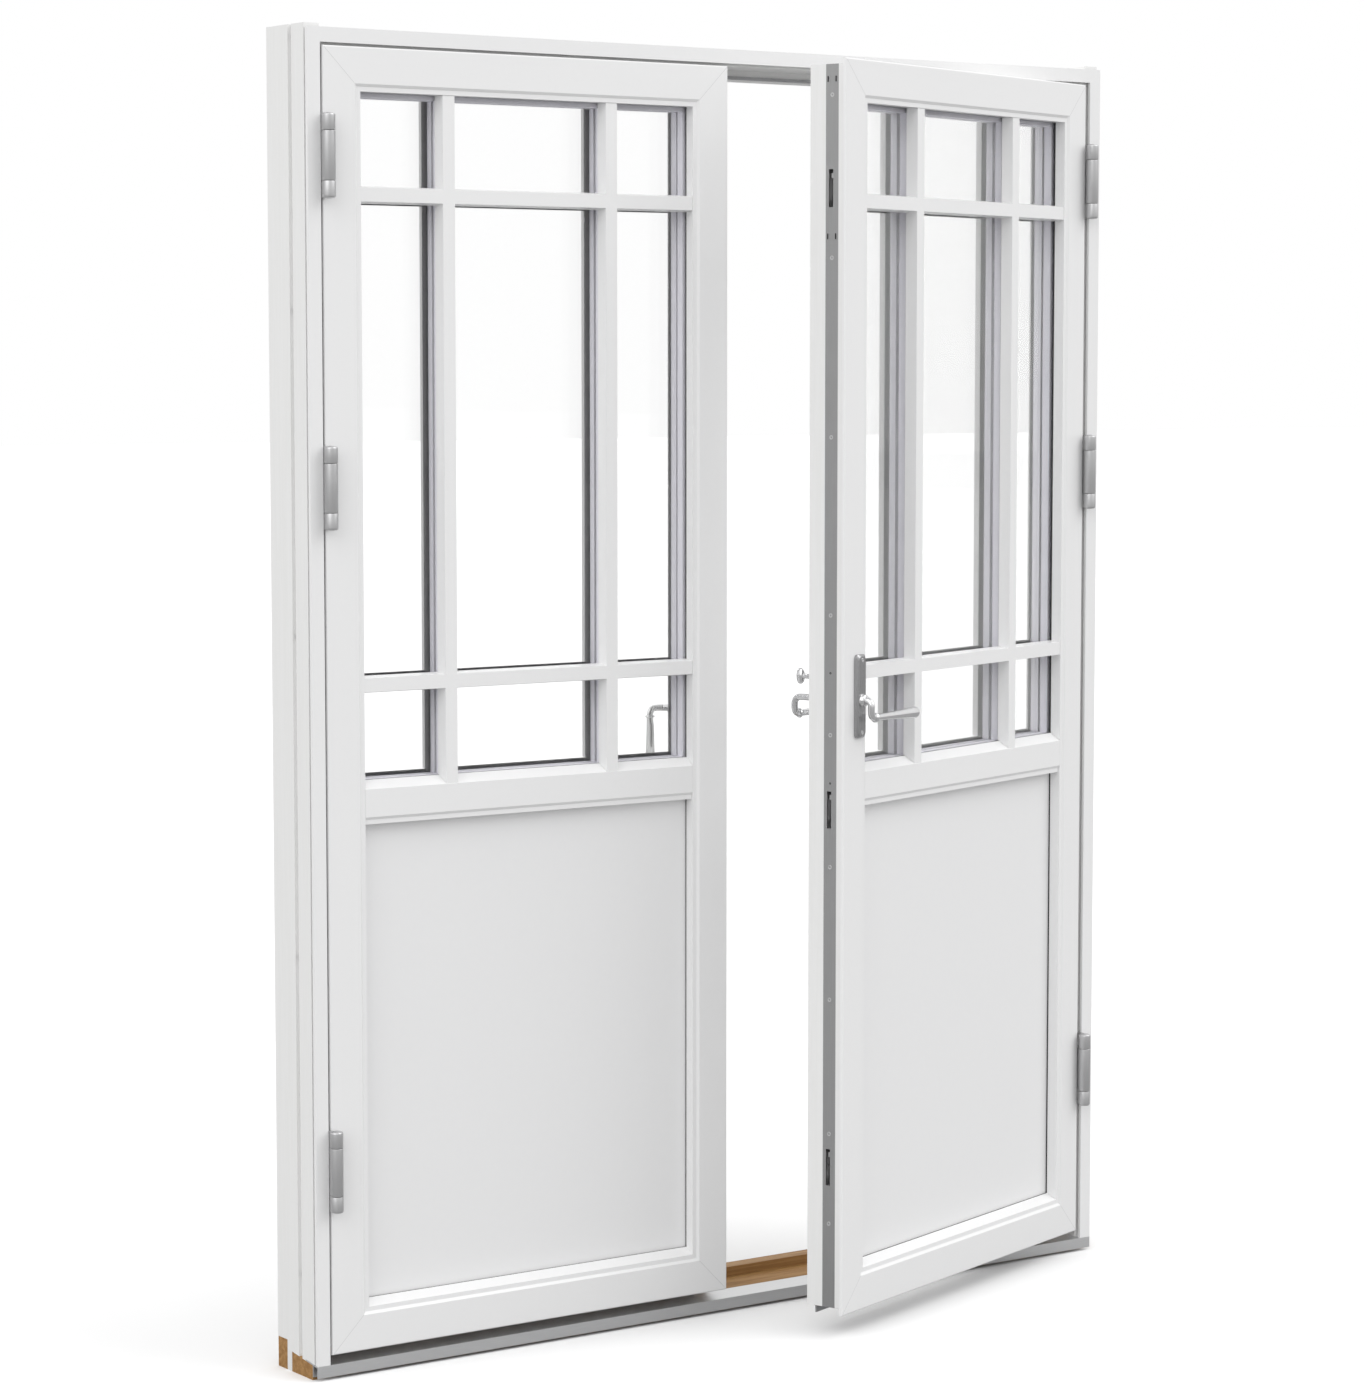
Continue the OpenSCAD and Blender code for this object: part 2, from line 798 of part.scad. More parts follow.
function bar_xs(w) = [w / 2 - bar_pitch / 2, w / 2 + bar_pitch / 2];

module spacers(w) {
    for (i = [0:1]) {
        y0 = glass_y + sheet_glass + i * (sheet_glass + cavity);
        flat_ring(pane_in + spacer_play, glass_z0 + spacer_play, w - pane_in - spacer_play,
                  glass_z1 - spacer_play, spacer_w, spacer_w, y0, y0 + cavity);
        for (x = bar_xs(w))
            box(x - spacer_w / 2, y0 + spacer_play, glass_z0 + spacer_w / 2, x + spacer_w / 2,
                y0 + cavity - spacer_play, glass_z1 - spacer_w / 2);
        for (z = bar_zs)
            box(pane_in + spacer_w / 2, y0 + spacer_play, z - spacer_w / 2,
                w - pane_in - spacer_w / 2, y0 + cavity - spacer_play, z + spacer_w / 2);
    }
}

// Glazing bars between the given limits, from the glass at y_glass out to y_face.
module bars(w, x0, x1, z0, z1, y_glass, y_face) {
    outline = [[-bar_base / 2, y_glass], [bar_base / 2, y_glass], [bar_face / 2, y_face],
               [-bar_face / 2, y_face]];
    for (x = bar_xs(w))
        translate([x, 0, z0]) linear_extrude(z1 - z0) polygon(outline);
    for (z = bar_zs)
        translate([x0, 0, z]) mirror([1, 0, -1]) linear_extrude(x1 - x0) polygon(outline);
}

module muntins_outer(w) {
    difference() {
        bars(w, reveal + air, w - reveal - air, glass_foot - glass_slope, glass_head - air,
             glass_y, bar_y);
        along_x(0, w) polygon([[0, 0], [glass_y + past, 0], [glass_y + past, glass_foot + air],
                               [reveal_y, glass_foot + air], [bevel_d, mid_top + air],
                               [0, mid_top]]);
    }
}

module muntins_inner(w) {
    bars(w, stile_w + bead_in, w - stile_w - bead_in, mid_top + bead_in,
         leaf_top - stile_w - bead_in, unit_back, bar_back);
}

module bead_outline() {
    polygon([[0, unit_back], [bead_in, unit_back], [bead_in, unit_back + bead_edge],
             [bead_in / 2, leaf_t], [0, leaf_t]]);
}

module beads(w) {
    mitred_ring(stile_w, mid_top, w - stile_w, leaf_top - stile_w, bead_in + past)
        bead_outline();
    mitred_ring(stile_w, panel_z0 - pane_play, w - stile_w, mid_bottom, bead_in + past)
        bead_outline();
}

module panel(w) {
    box(pane_in, glass_y, panel_z0, w - pane_in, unit_back, panel_z1);
}

module passive_glass() { color(glass_tint) on_passive() glass(passive_w); }
module passive_spacers() { color(spacer_grey) on_passive() spacers(passive_w); }
module passive_muntins_outer() { color(coat_white) on_passive() muntins_outer(passive_w); }
module passive_muntins_inner() { color(timber_white) on_passive() muntins_inner(passive_w); }
module passive_beads() { color(timber_white) on_passive() beads(passive_w); }
module passive_panel() { color(panel_white) on_passive() panel(passive_w); }
module passive_gasket() { color(seal_black) on_passive() gasket(passive_w); }
module active_glass() { color(glass_tint) on_active() glass(active_w); }
module active_spacers() { color(spacer_grey) on_active() spacers(active_w); }
module active_muntins_outer() { color(coat_white) on_active() muntins_outer(active_w); }
module active_muntins_inner() { color(timber_white) on_active() muntins_inner(active_w); }
module active_beads() { color(timber_white) on_active() beads(active_w); }
module active_panel() { color(panel_white) on_active() panel(active_w); }
module active_gasket() { color(seal_black) on_active() gasket(active_w); }

// ---------------------------------------------------------------- sweeps, astragal, meeting seal

module sweep(w) {
    blade_y = sweep_y + sweep_t / 2 - blade_t / 2;
    box(sweep_in, sweep_y, rail_low - sweep_h, w - sweep_in, sweep_y + sweep_t, rail_low);
    box(sweep_in, blade_y, oak_back_h + blade_gap, w - sweep_in, blade_y + blade_t,
        rail_low - sweep_h + blade_root);
}

module passive_sweep() { color(seal_black) on_passive() sweep(passive_w); }
module active_sweep() { color(seal_black) on_active() sweep(active_w); }

module astragal() {
    color(timber_white) on_passive()
        translate([passive_w, 0, astragal_foot]) linear_extrude(astragal_top - astragal_foot)
            polygon([[-astragal_in, leaf_t], [-meeting_inset, leaf_t],
                     [-meeting_inset, leaf_t + astragal_gap],
                     [astragal_out, leaf_t + astragal_gap],
                     [astragal_out, astragal_y - astragal_ease],
                     [astragal_out - astragal_ease, astragal_y],
                     [-astragal_in + astragal_ease, astragal_y],
                     [-astragal_in, astragal_y - astragal_ease]]);
}

module meeting_seal() {
    color(seal_grey) on_passive()
        box(passive_w + astragal_out - meeting_seal_in - meeting_seal_w, leaf_t + air,
            astragal_foot + meeting_seal_in, passive_w + astragal_out - meeting_seal_in,
            leaf_t + astragal_gap, astragal_top - meeting_seal_in);
}

// ---------------------------------------------------------------- active leaf: lock

// Draws in (inward from the active leaf's meeting edge, Y, Z).
module on_lock() {
    on_active() translate([active_w, 0, 0]) mirror([1, 0, 0]) children();
}

module faceplate() {
    color(steel) on_lock() difference() {
        box(timber_inset, face_y - face_plate_w / 2, rail_low, groove_in,
            face_y + face_plate_w / 2, stile_top);
        for (z = hook_zs)
            box(0, hook_y - slot_w / 2, z - slot_low, far, hook_y + slot_w / 2,
                z + hook_len + slot_spare);
    }
}

module hook_case(z) {
    difference() {
        box(groove_in, hook_y - case_w / 2, z - case_low, case_deep, hook_y + case_w / 2,
            z + case_high);
        box(0, hook_y - slot_w / 2, z - case_low + case_wall, case_deep - case_wall / 2,
            hook_y + slot_w / 2, z + case_high - case_wall);
    }
    bar_y_axis(hook_pivot, z, hook_y - case_w / 2, hook_y + case_w / 2, hook_pin_d);
}

module lock_cases() {
    color(steel) on_lock() {
        for (z = hook_zs) hook_case(z);
        difference() {
            box(groove_in, gear_y - gear_w / 2, spindle_z - gear_low, gear_deep,
                gear_y + gear_w / 2, spindle_z + gear_high);
            bar_y_axis(backset, spindle_z, 0, leaf_t, follower_d + 2 * running_gap);
            bar_y_axis(backset, spindle_z + thumb_rise, 0, leaf_t, thumb_d + 2 * running_gap);
        }
    }
}

module hook(z) {
    color(moving_steel) on_lock() difference() {
        translate([hook_pivot, hook_y + hook_t / 2, z]) rotate([90, 0, 0])
            linear_extrude(hook_t) {
                circle(r = hook_hub_r);
                translate([-hook_bar_w / 2, 0]) square([hook_bar_w, hook_len]);
                translate([-hook_nose, hook_len - hook_nose_h]) square([hook_nose, hook_nose_h]);
            }
        bar_y_axis(hook_pivot, z, 0, leaf_t, hook_pin_d + 2 * running_gap);
    }
}

module hook_lower() { hook(hook_zs[0]); }
module hook_middle() { hook(hook_zs[1]); }
module hook_upper() { hook(hook_zs[2]); }

module lock_rod() {
    color(moving_steel) on_lock()
        box(groove_in + air, rod_y, rod_low, groove_in + rod_deep, rod_y + rod_t, rod_high);
}

// ---------------------------------------------------------------- handles

// A plate with round corners in (X, Z) round the origin, from y0 to y1.
module round_plate(w, h, r, y0, y1) {
    translate([0, y1, 0]) rotate([90, 0, 0]) linear_extrude(y1 - y0) {
        square([w, h - 2 * r], center = true);
        square([w - 2 * r, h], center = true);
        for (x = [-1, 1], z = [-1, 1])
            translate([x * (w / 2 - r), z * (h / 2 - r)]) circle(r = r);
    }
}

// A backplate on the spindle at the given height, from y0 to y1.
module backplate(z, y0, y1) {
    difference() {
        translate([backset, 0, z + plate_rise]) round_plate(plate_w, plate_h, plate_r, y0, y1);
        bar_y_axis(backset, z, y0 - past, y1 + past, spindle_hole);
    }
}

module outer_backplate() {
    color(steel) on_lock() backplate(spindle_z, -plate_t, 0);
}

module inner_backplate() {
    color(steel) on_lock() difference() {
        backplate(spindle_z, leaf_t, leaf_t + plate_t);
        bar_y_axis(backset, spindle_z + thumb_rise, 0, far, thumb_d + 2 * running_gap);
    }
}

module passive_backplate() {
    color(steel) on_bolts()
        backplate(passive_spindle_z, leaf_t, leaf_t + plate_t);
}

// A lever drawn with its backplate at y = 0: a hub, a neck that runs out by the given reach and
// then down by lever_drop, and a grip along +X that thickens to its round end.
module lever(reach) {
    rotate([90, 0, 0]) translate([0, 0, air]) cylinder(d = hub_d, h = hub_t - air);
    translate([0, -hub_core, 0]) rotate([90, 0, 0]) cylinder(d = neck_d, h = reach - hub_core);
    translate([0, -reach, 0]) sphere(d = neck_d);
    translate([0, -reach, -lever_drop]) {
        cylinder(d = neck_d, h = lever_drop);
        sphere(d = ring_d);
        rotate([0, 90, 0]) rotate_extrude()
            polygon(concat(
                [[0, 0], [neck_d / 2, 0], [neck_d / 2, ring_len],
                 [neck_d / 2 - ring_step, ring_len + ring_taper]],
                [for (a = [0 : grip_step : 90])
                    [grip_r * cos(a), grip_len - grip_r + grip_r * sin(a)]]));
    }
}

module outer_lever() {
    color(moving_steel) on_lock() translate([backset, -plate_t, spindle_z]) difference() {
        lever(outer_reach);
        square_hole();
    }
}

module inner_lever() {
    color(moving_steel) on_lock() translate([backset, leaf_t + plate_t, spindle_z])
        mirror([0, 1, 0]) difference() {
            lever(inner_reach);
            square_hole();
        }
}

module square_hole() {
    box(-square_w / 2, -hub_core, -square_w / 2, square_w / 2, past, square_w / 2);
}

module spindle() {
    color(steel) on_lock() translate([backset, 0, spindle_z]) {
        box(-square_w / 2, -plate_t - hub_core, -square_w / 2, square_w / 2,
            leaf_t + plate_t + hub_core, square_w / 2);
        bar_y_axis(0, 0, gear_y - gear_w / 2, gear_y + gear_w / 2, follower_d);
    }
}

module thumb_turn() {
    color(moving_steel) on_lock()
        translate([backset, 0, spindle_z + thumb_rise]) {
            bar_y_axis(0, 0, gear_y, thumb_end - thumb_t / 2, thumb_d);
            bar_y_axis(0, 0, leaf_t + plate_t + air, leaf_t + plate_t + thumb_ring_t, thumb_ring_d);
            round_plate(thumb_w, thumb_h, thumb_w / 2 - air, thumb_end - thumb_t, thumb_end);
        }
}

// ---------------------------------------------------------------- passive leaf: bolts and strikes

// Draws in (inward from the passive leaf's meeting edge, Y, Z).
module on_bolts() {
    on_passive() translate([passive_w, 0, 0]) mirror([1, 0, 0]) children();
}

module strikes() {
    color(steel) on_bolts() for (z = hook_zs)
        difference() {
            box(meeting_inset, face_y - face_plate_w / 2, z - strike_h / 2,
                meeting_inset + face_t, face_y + face_plate_w / 2, z + strike_h / 2);
            box(0, hook_y - case_w / 2, z - strike_low, far, hook_y + case_w / 2,
                z + strike_high);
        }
}

module passive_gearbox() {
    color(steel) on_bolts() difference() {
        box(groove_in, bolt_y - passive_gear_t / 2, passive_spindle_z - gear_low, gear_deep,
            bolt_y + passive_gear_t / 2, passive_spindle_z + gear_high);
        bar_y_axis(backset, passive_spindle_z, 0, leaf_t, follower_d + 2 * running_gap);
    }
}

module passive_lever() {
    color(moving_steel) on_passive() translate([passive_w - backset, 0, passive_spindle_z]) {
        translate([0, leaf_t + plate_t, 0]) mirror([0, 1, 0]) rotate([0, 90, 0]) lever(inner_reach);
        bar_y_axis(0, 0, bolt_y, leaf_t + plate_t + seat_in, square_w);
        bar_y_axis(0, 0, bolt_y - passive_gear_t / 2, bolt_y + passive_gear_t / 2, follower_d);
    }
}

module upper_bolt() {
    color(moving_steel) on_bolts()
        translate([bolt_in, bolt_y, passive_spindle_z + gear_high + past])
            cylinder(d = bolt_d, h = bolt_top - passive_spindle_z - gear_high - past);
}

module lower_bolt() {
    color(moving_steel) on_bolts()
        translate([bolt_in, bolt_y, bolt_foot])
            cylinder(d = bolt_d, h = passive_spindle_z - gear_low - past - bolt_foot);
}

module upper_keep_pocket() {
    on_bolts() box(bolt_in - keep_w / 2, bolt_y - face_plate_w / 2, rebate_z - past,
                   bolt_in + keep_w / 2, bolt_y + face_plate_w / 2, rebate_z + keep_t);
}

module lower_keep_pocket() {
    on_bolts() box(bolt_in - keep_w / 2, bolt_y - face_plate_w / 2, keep_low_top - keep_t,
                   bolt_in + keep_w / 2, bolt_y + face_plate_w / 2, far);
}

module bolt_keeps() {
    color(steel) on_bolts()
        for (z = [rebate_z, keep_low_top - keep_t]) difference() {
            box(bolt_in - keep_w / 2, bolt_y - face_plate_w / 2, z, bolt_in + keep_w / 2,
                bolt_y + face_plate_w / 2, z + keep_t);
            translate([bolt_in, bolt_y, z - past])
                cylinder(d = bolt_d + 2 * keep_air, h = keep_t + 2 * past);
        }
}

jamb_left();
jamb_right();
head();
threshold_rear();
threshold_break();
threshold_front();
threshold_nose();
cladding_left();
cladding_right();
cladding_head();
frame_seal();
corner_screws();
hinge_frame_arms();
hinge_pins();
bolt_keeps();
passive_stiles();
passive_rails();
passive_cladding();
passive_glass();
passive_spacers();
passive_muntins_outer();
passive_muntins_inner();
passive_beads();
passive_panel();
passive_gasket();
passive_hinge_arms();
passive_sweep();
astragal();
meeting_seal();
strikes();
passive_gearbox();
passive_backplate();
passive_lever();
upper_bolt();
lower_bolt();
active_stiles();
active_rails();
active_cladding();
active_glass();
active_spacers();
active_muntins_outer();
active_muntins_inner();
active_beads();
active_panel();
active_gasket();
active_hinge_arms();
active_sweep();
faceplate();
lock_cases();
outer_backplate();
inner_backplate();
outer_lever();
inner_lever();
spindle();
thumb_turn();
lock_rod();
hook_upper();
hook_middle();
hook_lower();
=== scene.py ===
"""Looks of a pair of white french doors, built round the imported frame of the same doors.

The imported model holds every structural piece. This script gives each of them its finish, replaces the
levers, backplates, thumb turn and hinges with finely shaped ones, and adds screws and joint lines.
Lengths in the dataclasses are in millimetres and turned into metres where a mesh is made.
"""

from __future__ import annotations

import json
import logging
import math
from dataclasses import dataclass, field
from enum import Enum
from typing import Any, Iterable, Sequence

import bmesh
import bpy
from mathutils import Euler, Matrix, Vector

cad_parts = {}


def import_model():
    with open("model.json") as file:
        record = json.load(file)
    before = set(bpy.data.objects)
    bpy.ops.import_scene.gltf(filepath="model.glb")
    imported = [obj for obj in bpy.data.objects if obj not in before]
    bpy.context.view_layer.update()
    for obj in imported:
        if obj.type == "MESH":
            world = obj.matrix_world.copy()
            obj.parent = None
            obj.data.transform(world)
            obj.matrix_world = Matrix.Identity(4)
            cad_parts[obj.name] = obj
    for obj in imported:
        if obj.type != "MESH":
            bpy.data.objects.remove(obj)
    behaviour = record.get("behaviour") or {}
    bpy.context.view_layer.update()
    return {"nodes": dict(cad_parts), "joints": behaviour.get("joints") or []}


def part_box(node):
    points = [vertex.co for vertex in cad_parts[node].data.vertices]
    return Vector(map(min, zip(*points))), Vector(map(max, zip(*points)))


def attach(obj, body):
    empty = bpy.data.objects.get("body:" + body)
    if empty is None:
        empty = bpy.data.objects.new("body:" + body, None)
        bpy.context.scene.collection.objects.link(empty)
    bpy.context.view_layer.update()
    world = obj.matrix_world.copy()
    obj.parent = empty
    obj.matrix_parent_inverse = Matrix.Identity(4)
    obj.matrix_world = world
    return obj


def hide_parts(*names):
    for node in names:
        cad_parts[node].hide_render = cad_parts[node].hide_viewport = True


LOG = logging.getLogger("french_doors")
MM = 0.001
QUARTER = math.pi / 2
SENSOR = 36.0
MEETING_GAP = 4.6
BACKSET = 42.5
ROOM_FACE = 73.0
PLATE = 8.0

Point = tuple[float, float, float]
Colour = tuple[float, float, float]


class Grain(Enum):
    """Which way the fibres, or the brush marks, of a piece run."""

    ALONG_X = 0
    ALONG_Z = 2
    NONE = 3

    def stretch(self, across: float, along: float) -> Point:
        """Gives the scale that draws a pattern out along the grain.

        Args:
            across: Pattern repeats per metre across the grain.
            along: Pattern repeats per metre along it.

        Returns:
            The scale on X, Y and Z.
        """
        if self is Grain.NONE:
            return (across, across, across)
        return tuple(along if axis == self.value else across for axis in range(3))


# ---------------------------------------------------------------- node trees


class Graph:
    """A node tree being written, with short ways to add, set and join nodes."""

    def __init__(self, tree: bpy.types.NodeTree) -> None:
        """Empties the tree.

        Args:
            tree: The node tree to write in.
        """
        self.tree = tree
        tree.nodes.clear()

    def add(self, kind: str, values: dict[str | int, Any] | None = None,
            **settings: Any) -> bpy.types.Node:
        """Adds one node.

        Args:
            kind: The node's type name.
            values: Numbers or sockets for its inputs, by name or place.
            **settings: Values for its own properties.

        Returns:
            The new node.
        """
        node = self.tree.nodes.new(kind)
        node.location.x = 200 * len(self.tree.nodes)
        for name, value in settings.items():
            setattr(node, name, value)
        for name, value in (values or {}).items():
            if isinstance(value, bpy.types.NodeSocket):
                self.tree.links.new(value, node.inputs[name])
            else:
                node.inputs[name].default_value = value
        return node

    def join(self, source: bpy.types.NodeSocket, target: bpy.types.NodeSocket) -> None:
        """Links an output socket to an input socket."""
        self.tree.links.new(source, target)

    def maths(self, operation: str, *terms: Any, clamp: bool = False) -> bpy.types.NodeSocket:
        """Adds a sum on numbers and sockets and returns its result."""
        return self.add("ShaderNodeMath", dict(enumerate(terms)), operation=operation,
                        use_clamp=clamp).outputs[0]


def new_group(kind: str, name: str, ins: Sequence[tuple[str, str, Any]],
              outs: Sequence[tuple[str, str]]) -> tuple[Graph, bpy.types.Node, bpy.types.Node]:
    """Makes an empty node group with named sockets.

    Args:
        kind: The tree's type name.
        name: The group's name.
        ins: Name, socket type and default of each input.
        outs: Name and socket type of each output.

    Returns:
        The graph, its input node and its output node.
    """
    tree = bpy.data.node_groups.new(name, kind)
    for label, socket, default in ins:
        item = tree.interface.new_socket(name=label, in_out="INPUT", socket_type=socket)
        if default is not None:
            item.default_value = default
    for label, socket in outs:
        tree.interface.new_socket(name=label, in_out="OUTPUT", socket_type=socket)
    graph = Graph(tree)
    return graph, graph.add("NodeGroupInput"), graph.add("NodeGroupOutput")


SURFACE_INPUTS = (("Vector", "NodeSocketVector", None), ("Scale", "NodeSocketFloat", 1.0),
                  ("Colour", "NodeSocketColor", None), ("Second", "NodeSocketColor", None),
                  ("Roughness", "NodeSocketFloat", 0.4), ("Spread", "NodeSocketFloat", 0.1))
SURFACE_OUTPUTS = (("Colour", "NodeSocketColor"), ("Roughness", "NodeSocketFloat"),
                   ("Height", "NodeSocketFloat"))


def spread_about(graph: Graph, base: bpy.types.NodeSocket, spread: bpy.types.NodeSocket,
                 mask: bpy.types.NodeSocket) -> bpy.types.NodeSocket:
    """Adds base + (mask - 0.5) * spread to a graph and returns its socket."""
    return graph.maths("MULTIPLY_ADD", graph.maths("SUBTRACT", mask, 0.5), spread, base)


def blend_colours(graph: Graph, mask: bpy.types.NodeSocket, first: bpy.types.NodeSocket,
                  second: bpy.types.NodeSocket) -> bpy.types.NodeSocket:
    """Adds a colour mix by a mask to a graph and returns its socket."""
    return graph.add("ShaderNodeMix", {0: mask, 6: first, 7: second}, data_type="RGBA").outputs[2]


def mottle_group() -> bpy.types.NodeTree:
    """Builds the even surface: a soft mottle of colour and gloss, and a fine texture.

    Returns:
        The shader node group.
    """
    graph, ins, outs = new_group("ShaderNodeTree", "mottle", SURFACE_INPUTS, SURFACE_OUTPUTS)
    soft = graph.add("ShaderNodeTexNoise", {"Vector": ins.outputs["Vector"],
                                            "Scale": ins.outputs["Scale"], "Detail": 3.0})
    times = graph.maths("MULTIPLY", ins.outputs["Scale"], 9.0)
    fine = graph.add("ShaderNodeTexNoise", {"Vector": ins.outputs["Vector"],
                                            "Scale": times, "Detail": 2.0})
    mask = soft.outputs[0]
    graph.join(blend_colours(graph, mask, ins.outputs["Colour"], ins.outputs["Second"]),
               outs.inputs["Colour"])
    graph.join(spread_about(graph, ins.outputs["Roughness"], ins.outputs["Spread"], mask),
               outs.inputs["Roughness"])
    graph.join(fine.outputs[0], outs.inputs["Height"])
    return graph.tree


def timber_group() -> bpy.types.NodeTree:
    """Builds wood: a wandering figure of early and late wood with fine dark pores.

    Returns:
        The shader node group.
    """
    graph, ins, outs = new_group("ShaderNodeTree", "timber", SURFACE_INPUTS, SURFACE_OUTPUTS)
    figure = graph.add("ShaderNodeTexNoise", {"Vector": ins.outputs["Vector"],
                                              "Scale": ins.outputs["Scale"], "Detail": 5.0,
                                              "Distortion": 0.7})
    times = graph.maths("MULTIPLY", ins.outputs["Scale"], 6.0)
    pores = graph.add("ShaderNodeTexNoise", {"Vector": ins.outputs["Vector"],
                                             "Scale": times, "Detail": 4.0})
    narrow = graph.add("ShaderNodeMapRange", {"From Min": 0.52, "From Max": 0.62,
                                              "Value": pores.outputs[0]})
    wide = graph.add("ShaderNodeMapRange", {"From Min": 0.35, "From Max": 0.65,
                                            "Value": figure.outputs[0]})
    both = graph.maths("MULTIPLY_ADD", narrow.outputs[0], 0.45, wide.outputs[0], clamp=True)
    graph.join(blend_colours(graph, both, ins.outputs["Colour"], ins.outputs["Second"]),
               outs.inputs["Colour"])
    graph.join(spread_about(graph, ins.outputs["Roughness"], ins.outputs["Spread"], both),
               outs.inputs["Roughness"])
    graph.join(graph.maths("SUBTRACT", 1.0, both), outs.inputs["Height"])
    return graph.tree


@dataclass
class Groups:
    """The shader node groups that several finishes share."""

    mottle: bpy.types.NodeTree
    timber: bpy.types.NodeTree

    @classmethod
    def build(cls) -> Groups:
        """Builds every group once."""
        return cls(mottle_group(), timber_group())


# ---------------------------------------------------------------- finishes


def new_material(name: str) -> tuple[bpy.types.Material, Graph]:
    """Makes an empty material and returns it with its graph."""
    material = bpy.data.materials.new(name)
    material.use_nodes = True
    return material, Graph(material.node_tree)


@dataclass(frozen=True)
class Finish:
    """An opaque finish whose colour, gloss and texture vary over the surface.

    Attributes:
        name: The material's name.
        colour: Main colour.
        second: Colour that it drifts towards.
        roughness: Middle of the roughness.
        spread: How far the roughness varies.
        metallic: 1 for bare metal.
        grain: Direction of fibres or brush marks.
        across: Pattern repeats per metre across the grain.
        along: Pattern repeats per metre along it.
        bump: Strength of the fine texture.
        relief: Height of the fine texture, in millimetres.
        turn: Turn of the piece about Z, in radians, which the pattern follows.
        wooden: Whether the pattern is that of timber.
        coat: Weight of a clear coat.
    """

    name: str
    colour: Colour
    second: Colour
    roughness: float = 0.4
    spread: float = 0.08
    metallic: float = 0.0
    grain: Grain = Grain.NONE
    across: float = 30.0
    along: float = 30.0
    bump: float = 0.1
    relief: float = 0.1
    turn: float = 0.0
    wooden: bool = False
    coat: float = 0.0

    def build(self, groups: Groups) -> bpy.types.Material:
        """Makes the material.

        Args:
            groups: The shared shader groups.

        Returns:
            The material.
        """
        material, graph = new_material(self.name)
        place = graph.add("ShaderNodeTexCoord")
        turned = graph.add("ShaderNodeMapping", {"Vector": place.outputs["Object"],
                                                 "Rotation": (0.0, 0.0, -self.turn)})
        scaled = graph.add("ShaderNodeMapping", {"Vector": turned.outputs["Vector"],
                                                 "Scale": self.grain.stretch(self.across, self.along)})
        group = graph.add("ShaderNodeGroup", node_tree=groups.timber if self.wooden else groups.mottle)
        graph.join(scaled.outputs["Vector"], group.inputs["Vector"])
        for label, value in (("Colour", (*self.colour, 1.0)), ("Second", (*self.second, 1.0)),
                             ("Roughness", self.roughness), ("Spread", self.spread), ("Scale", 1.0)):
            group.inputs[label].default_value = value
        bump = graph.add("ShaderNodeBump", {"Height": group.outputs["Height"], "Strength": self.bump,
                                            "Distance": self.relief * MM})
        shader = graph.add("ShaderNodeBsdfPrincipled",
                           {"Base Color": group.outputs["Colour"],
                            "Roughness": group.outputs["Roughness"], "Metallic": self.metallic,
                            "Coat Weight": self.coat, "Normal": bump.outputs["Normal"]})
        graph.add("ShaderNodeOutputMaterial", {"Surface": shader.outputs[0]})
        return material


@dataclass(frozen=True)
class GlassFinish:
    """Clear float glass that reflects more at a shallow angle.

    Attributes:
        name: The material's name.
        tint: Colour of the glass.
        least: Opacity seen square on.
        most: Opacity seen along the sheet.
    """

    name: str = "float_glass"
    tint: Colour = (0.97, 0.985, 0.98)
    least: float = 0.02
    most: float = 0.2

    def build(self, groups: Groups) -> bpy.types.Material:
        """Makes the material.

        Args:
            groups: The shared shader groups.

        Returns:
            The material.
        """
        material, graph = new_material(self.name)
        place = graph.add("ShaderNodeTexCoord")
        group = graph.add("ShaderNodeGroup", node_tree=groups.mottle)
        graph.join(place.outputs["Object"], group.inputs["Vector"])
        for label, value in (("Roughness", 0.02), ("Spread", 0.01), ("Scale", 2.0)):
            group.inputs[label].default_value = value
        facing = graph.add("ShaderNodeLayerWeight", {"Blend": 0.3})
        opacity = graph.add("ShaderNodeMapRange", {"Value": facing.outputs["Facing"],
                                                   "To Min": self.least, "To Max": self.most})
        shader = graph.add("ShaderNodeBsdfPrincipled",
                           {"Base Color": (*self.tint, 1.0),
                            "Roughness": group.outputs["Roughness"], "Transmission Weight": 1.0,
                            "IOR": 1.5, "Alpha": opacity.outputs[0]})
        graph.add("ShaderNodeOutputMaterial", {"Surface": shader.outputs[0]})
        return material


def painted_timber(name: str, grain: Grain, turn: float = 0.0) -> Finish:
    """White opaque paint on pine, with the grain just telegraphing through."""
    return Finish(name, (0.86, 0.86, 0.855), (0.84, 0.84, 0.832), 0.42, 0.08, grain=grain,
                  across=140.0, along=6.0, bump=0.12, relief=0.12, turn=turn, wooden=True)


def metal(name: str, colour: Colour, roughness: float, grain: Grain = Grain.ALONG_Z) -> Finish:
    """Bare or plated metal with fine brush marks."""
    darker = tuple(0.9 * part for part in colour)
    return Finish(name, colour, darker, roughness, 0.1, 1.0, grain, across=900.0, along=25.0,
                  bump=0.06, relief=0.02)


def rubber(name: str, colour: Colour) -> Finish:
    """Extruded rubber, matt with a fine grain."""
    lighter = tuple(1.25 * part for part in colour)
    return Finish(name, colour, lighter, 0.7, 0.12, across=220.0, bump=0.2, relief=0.05)


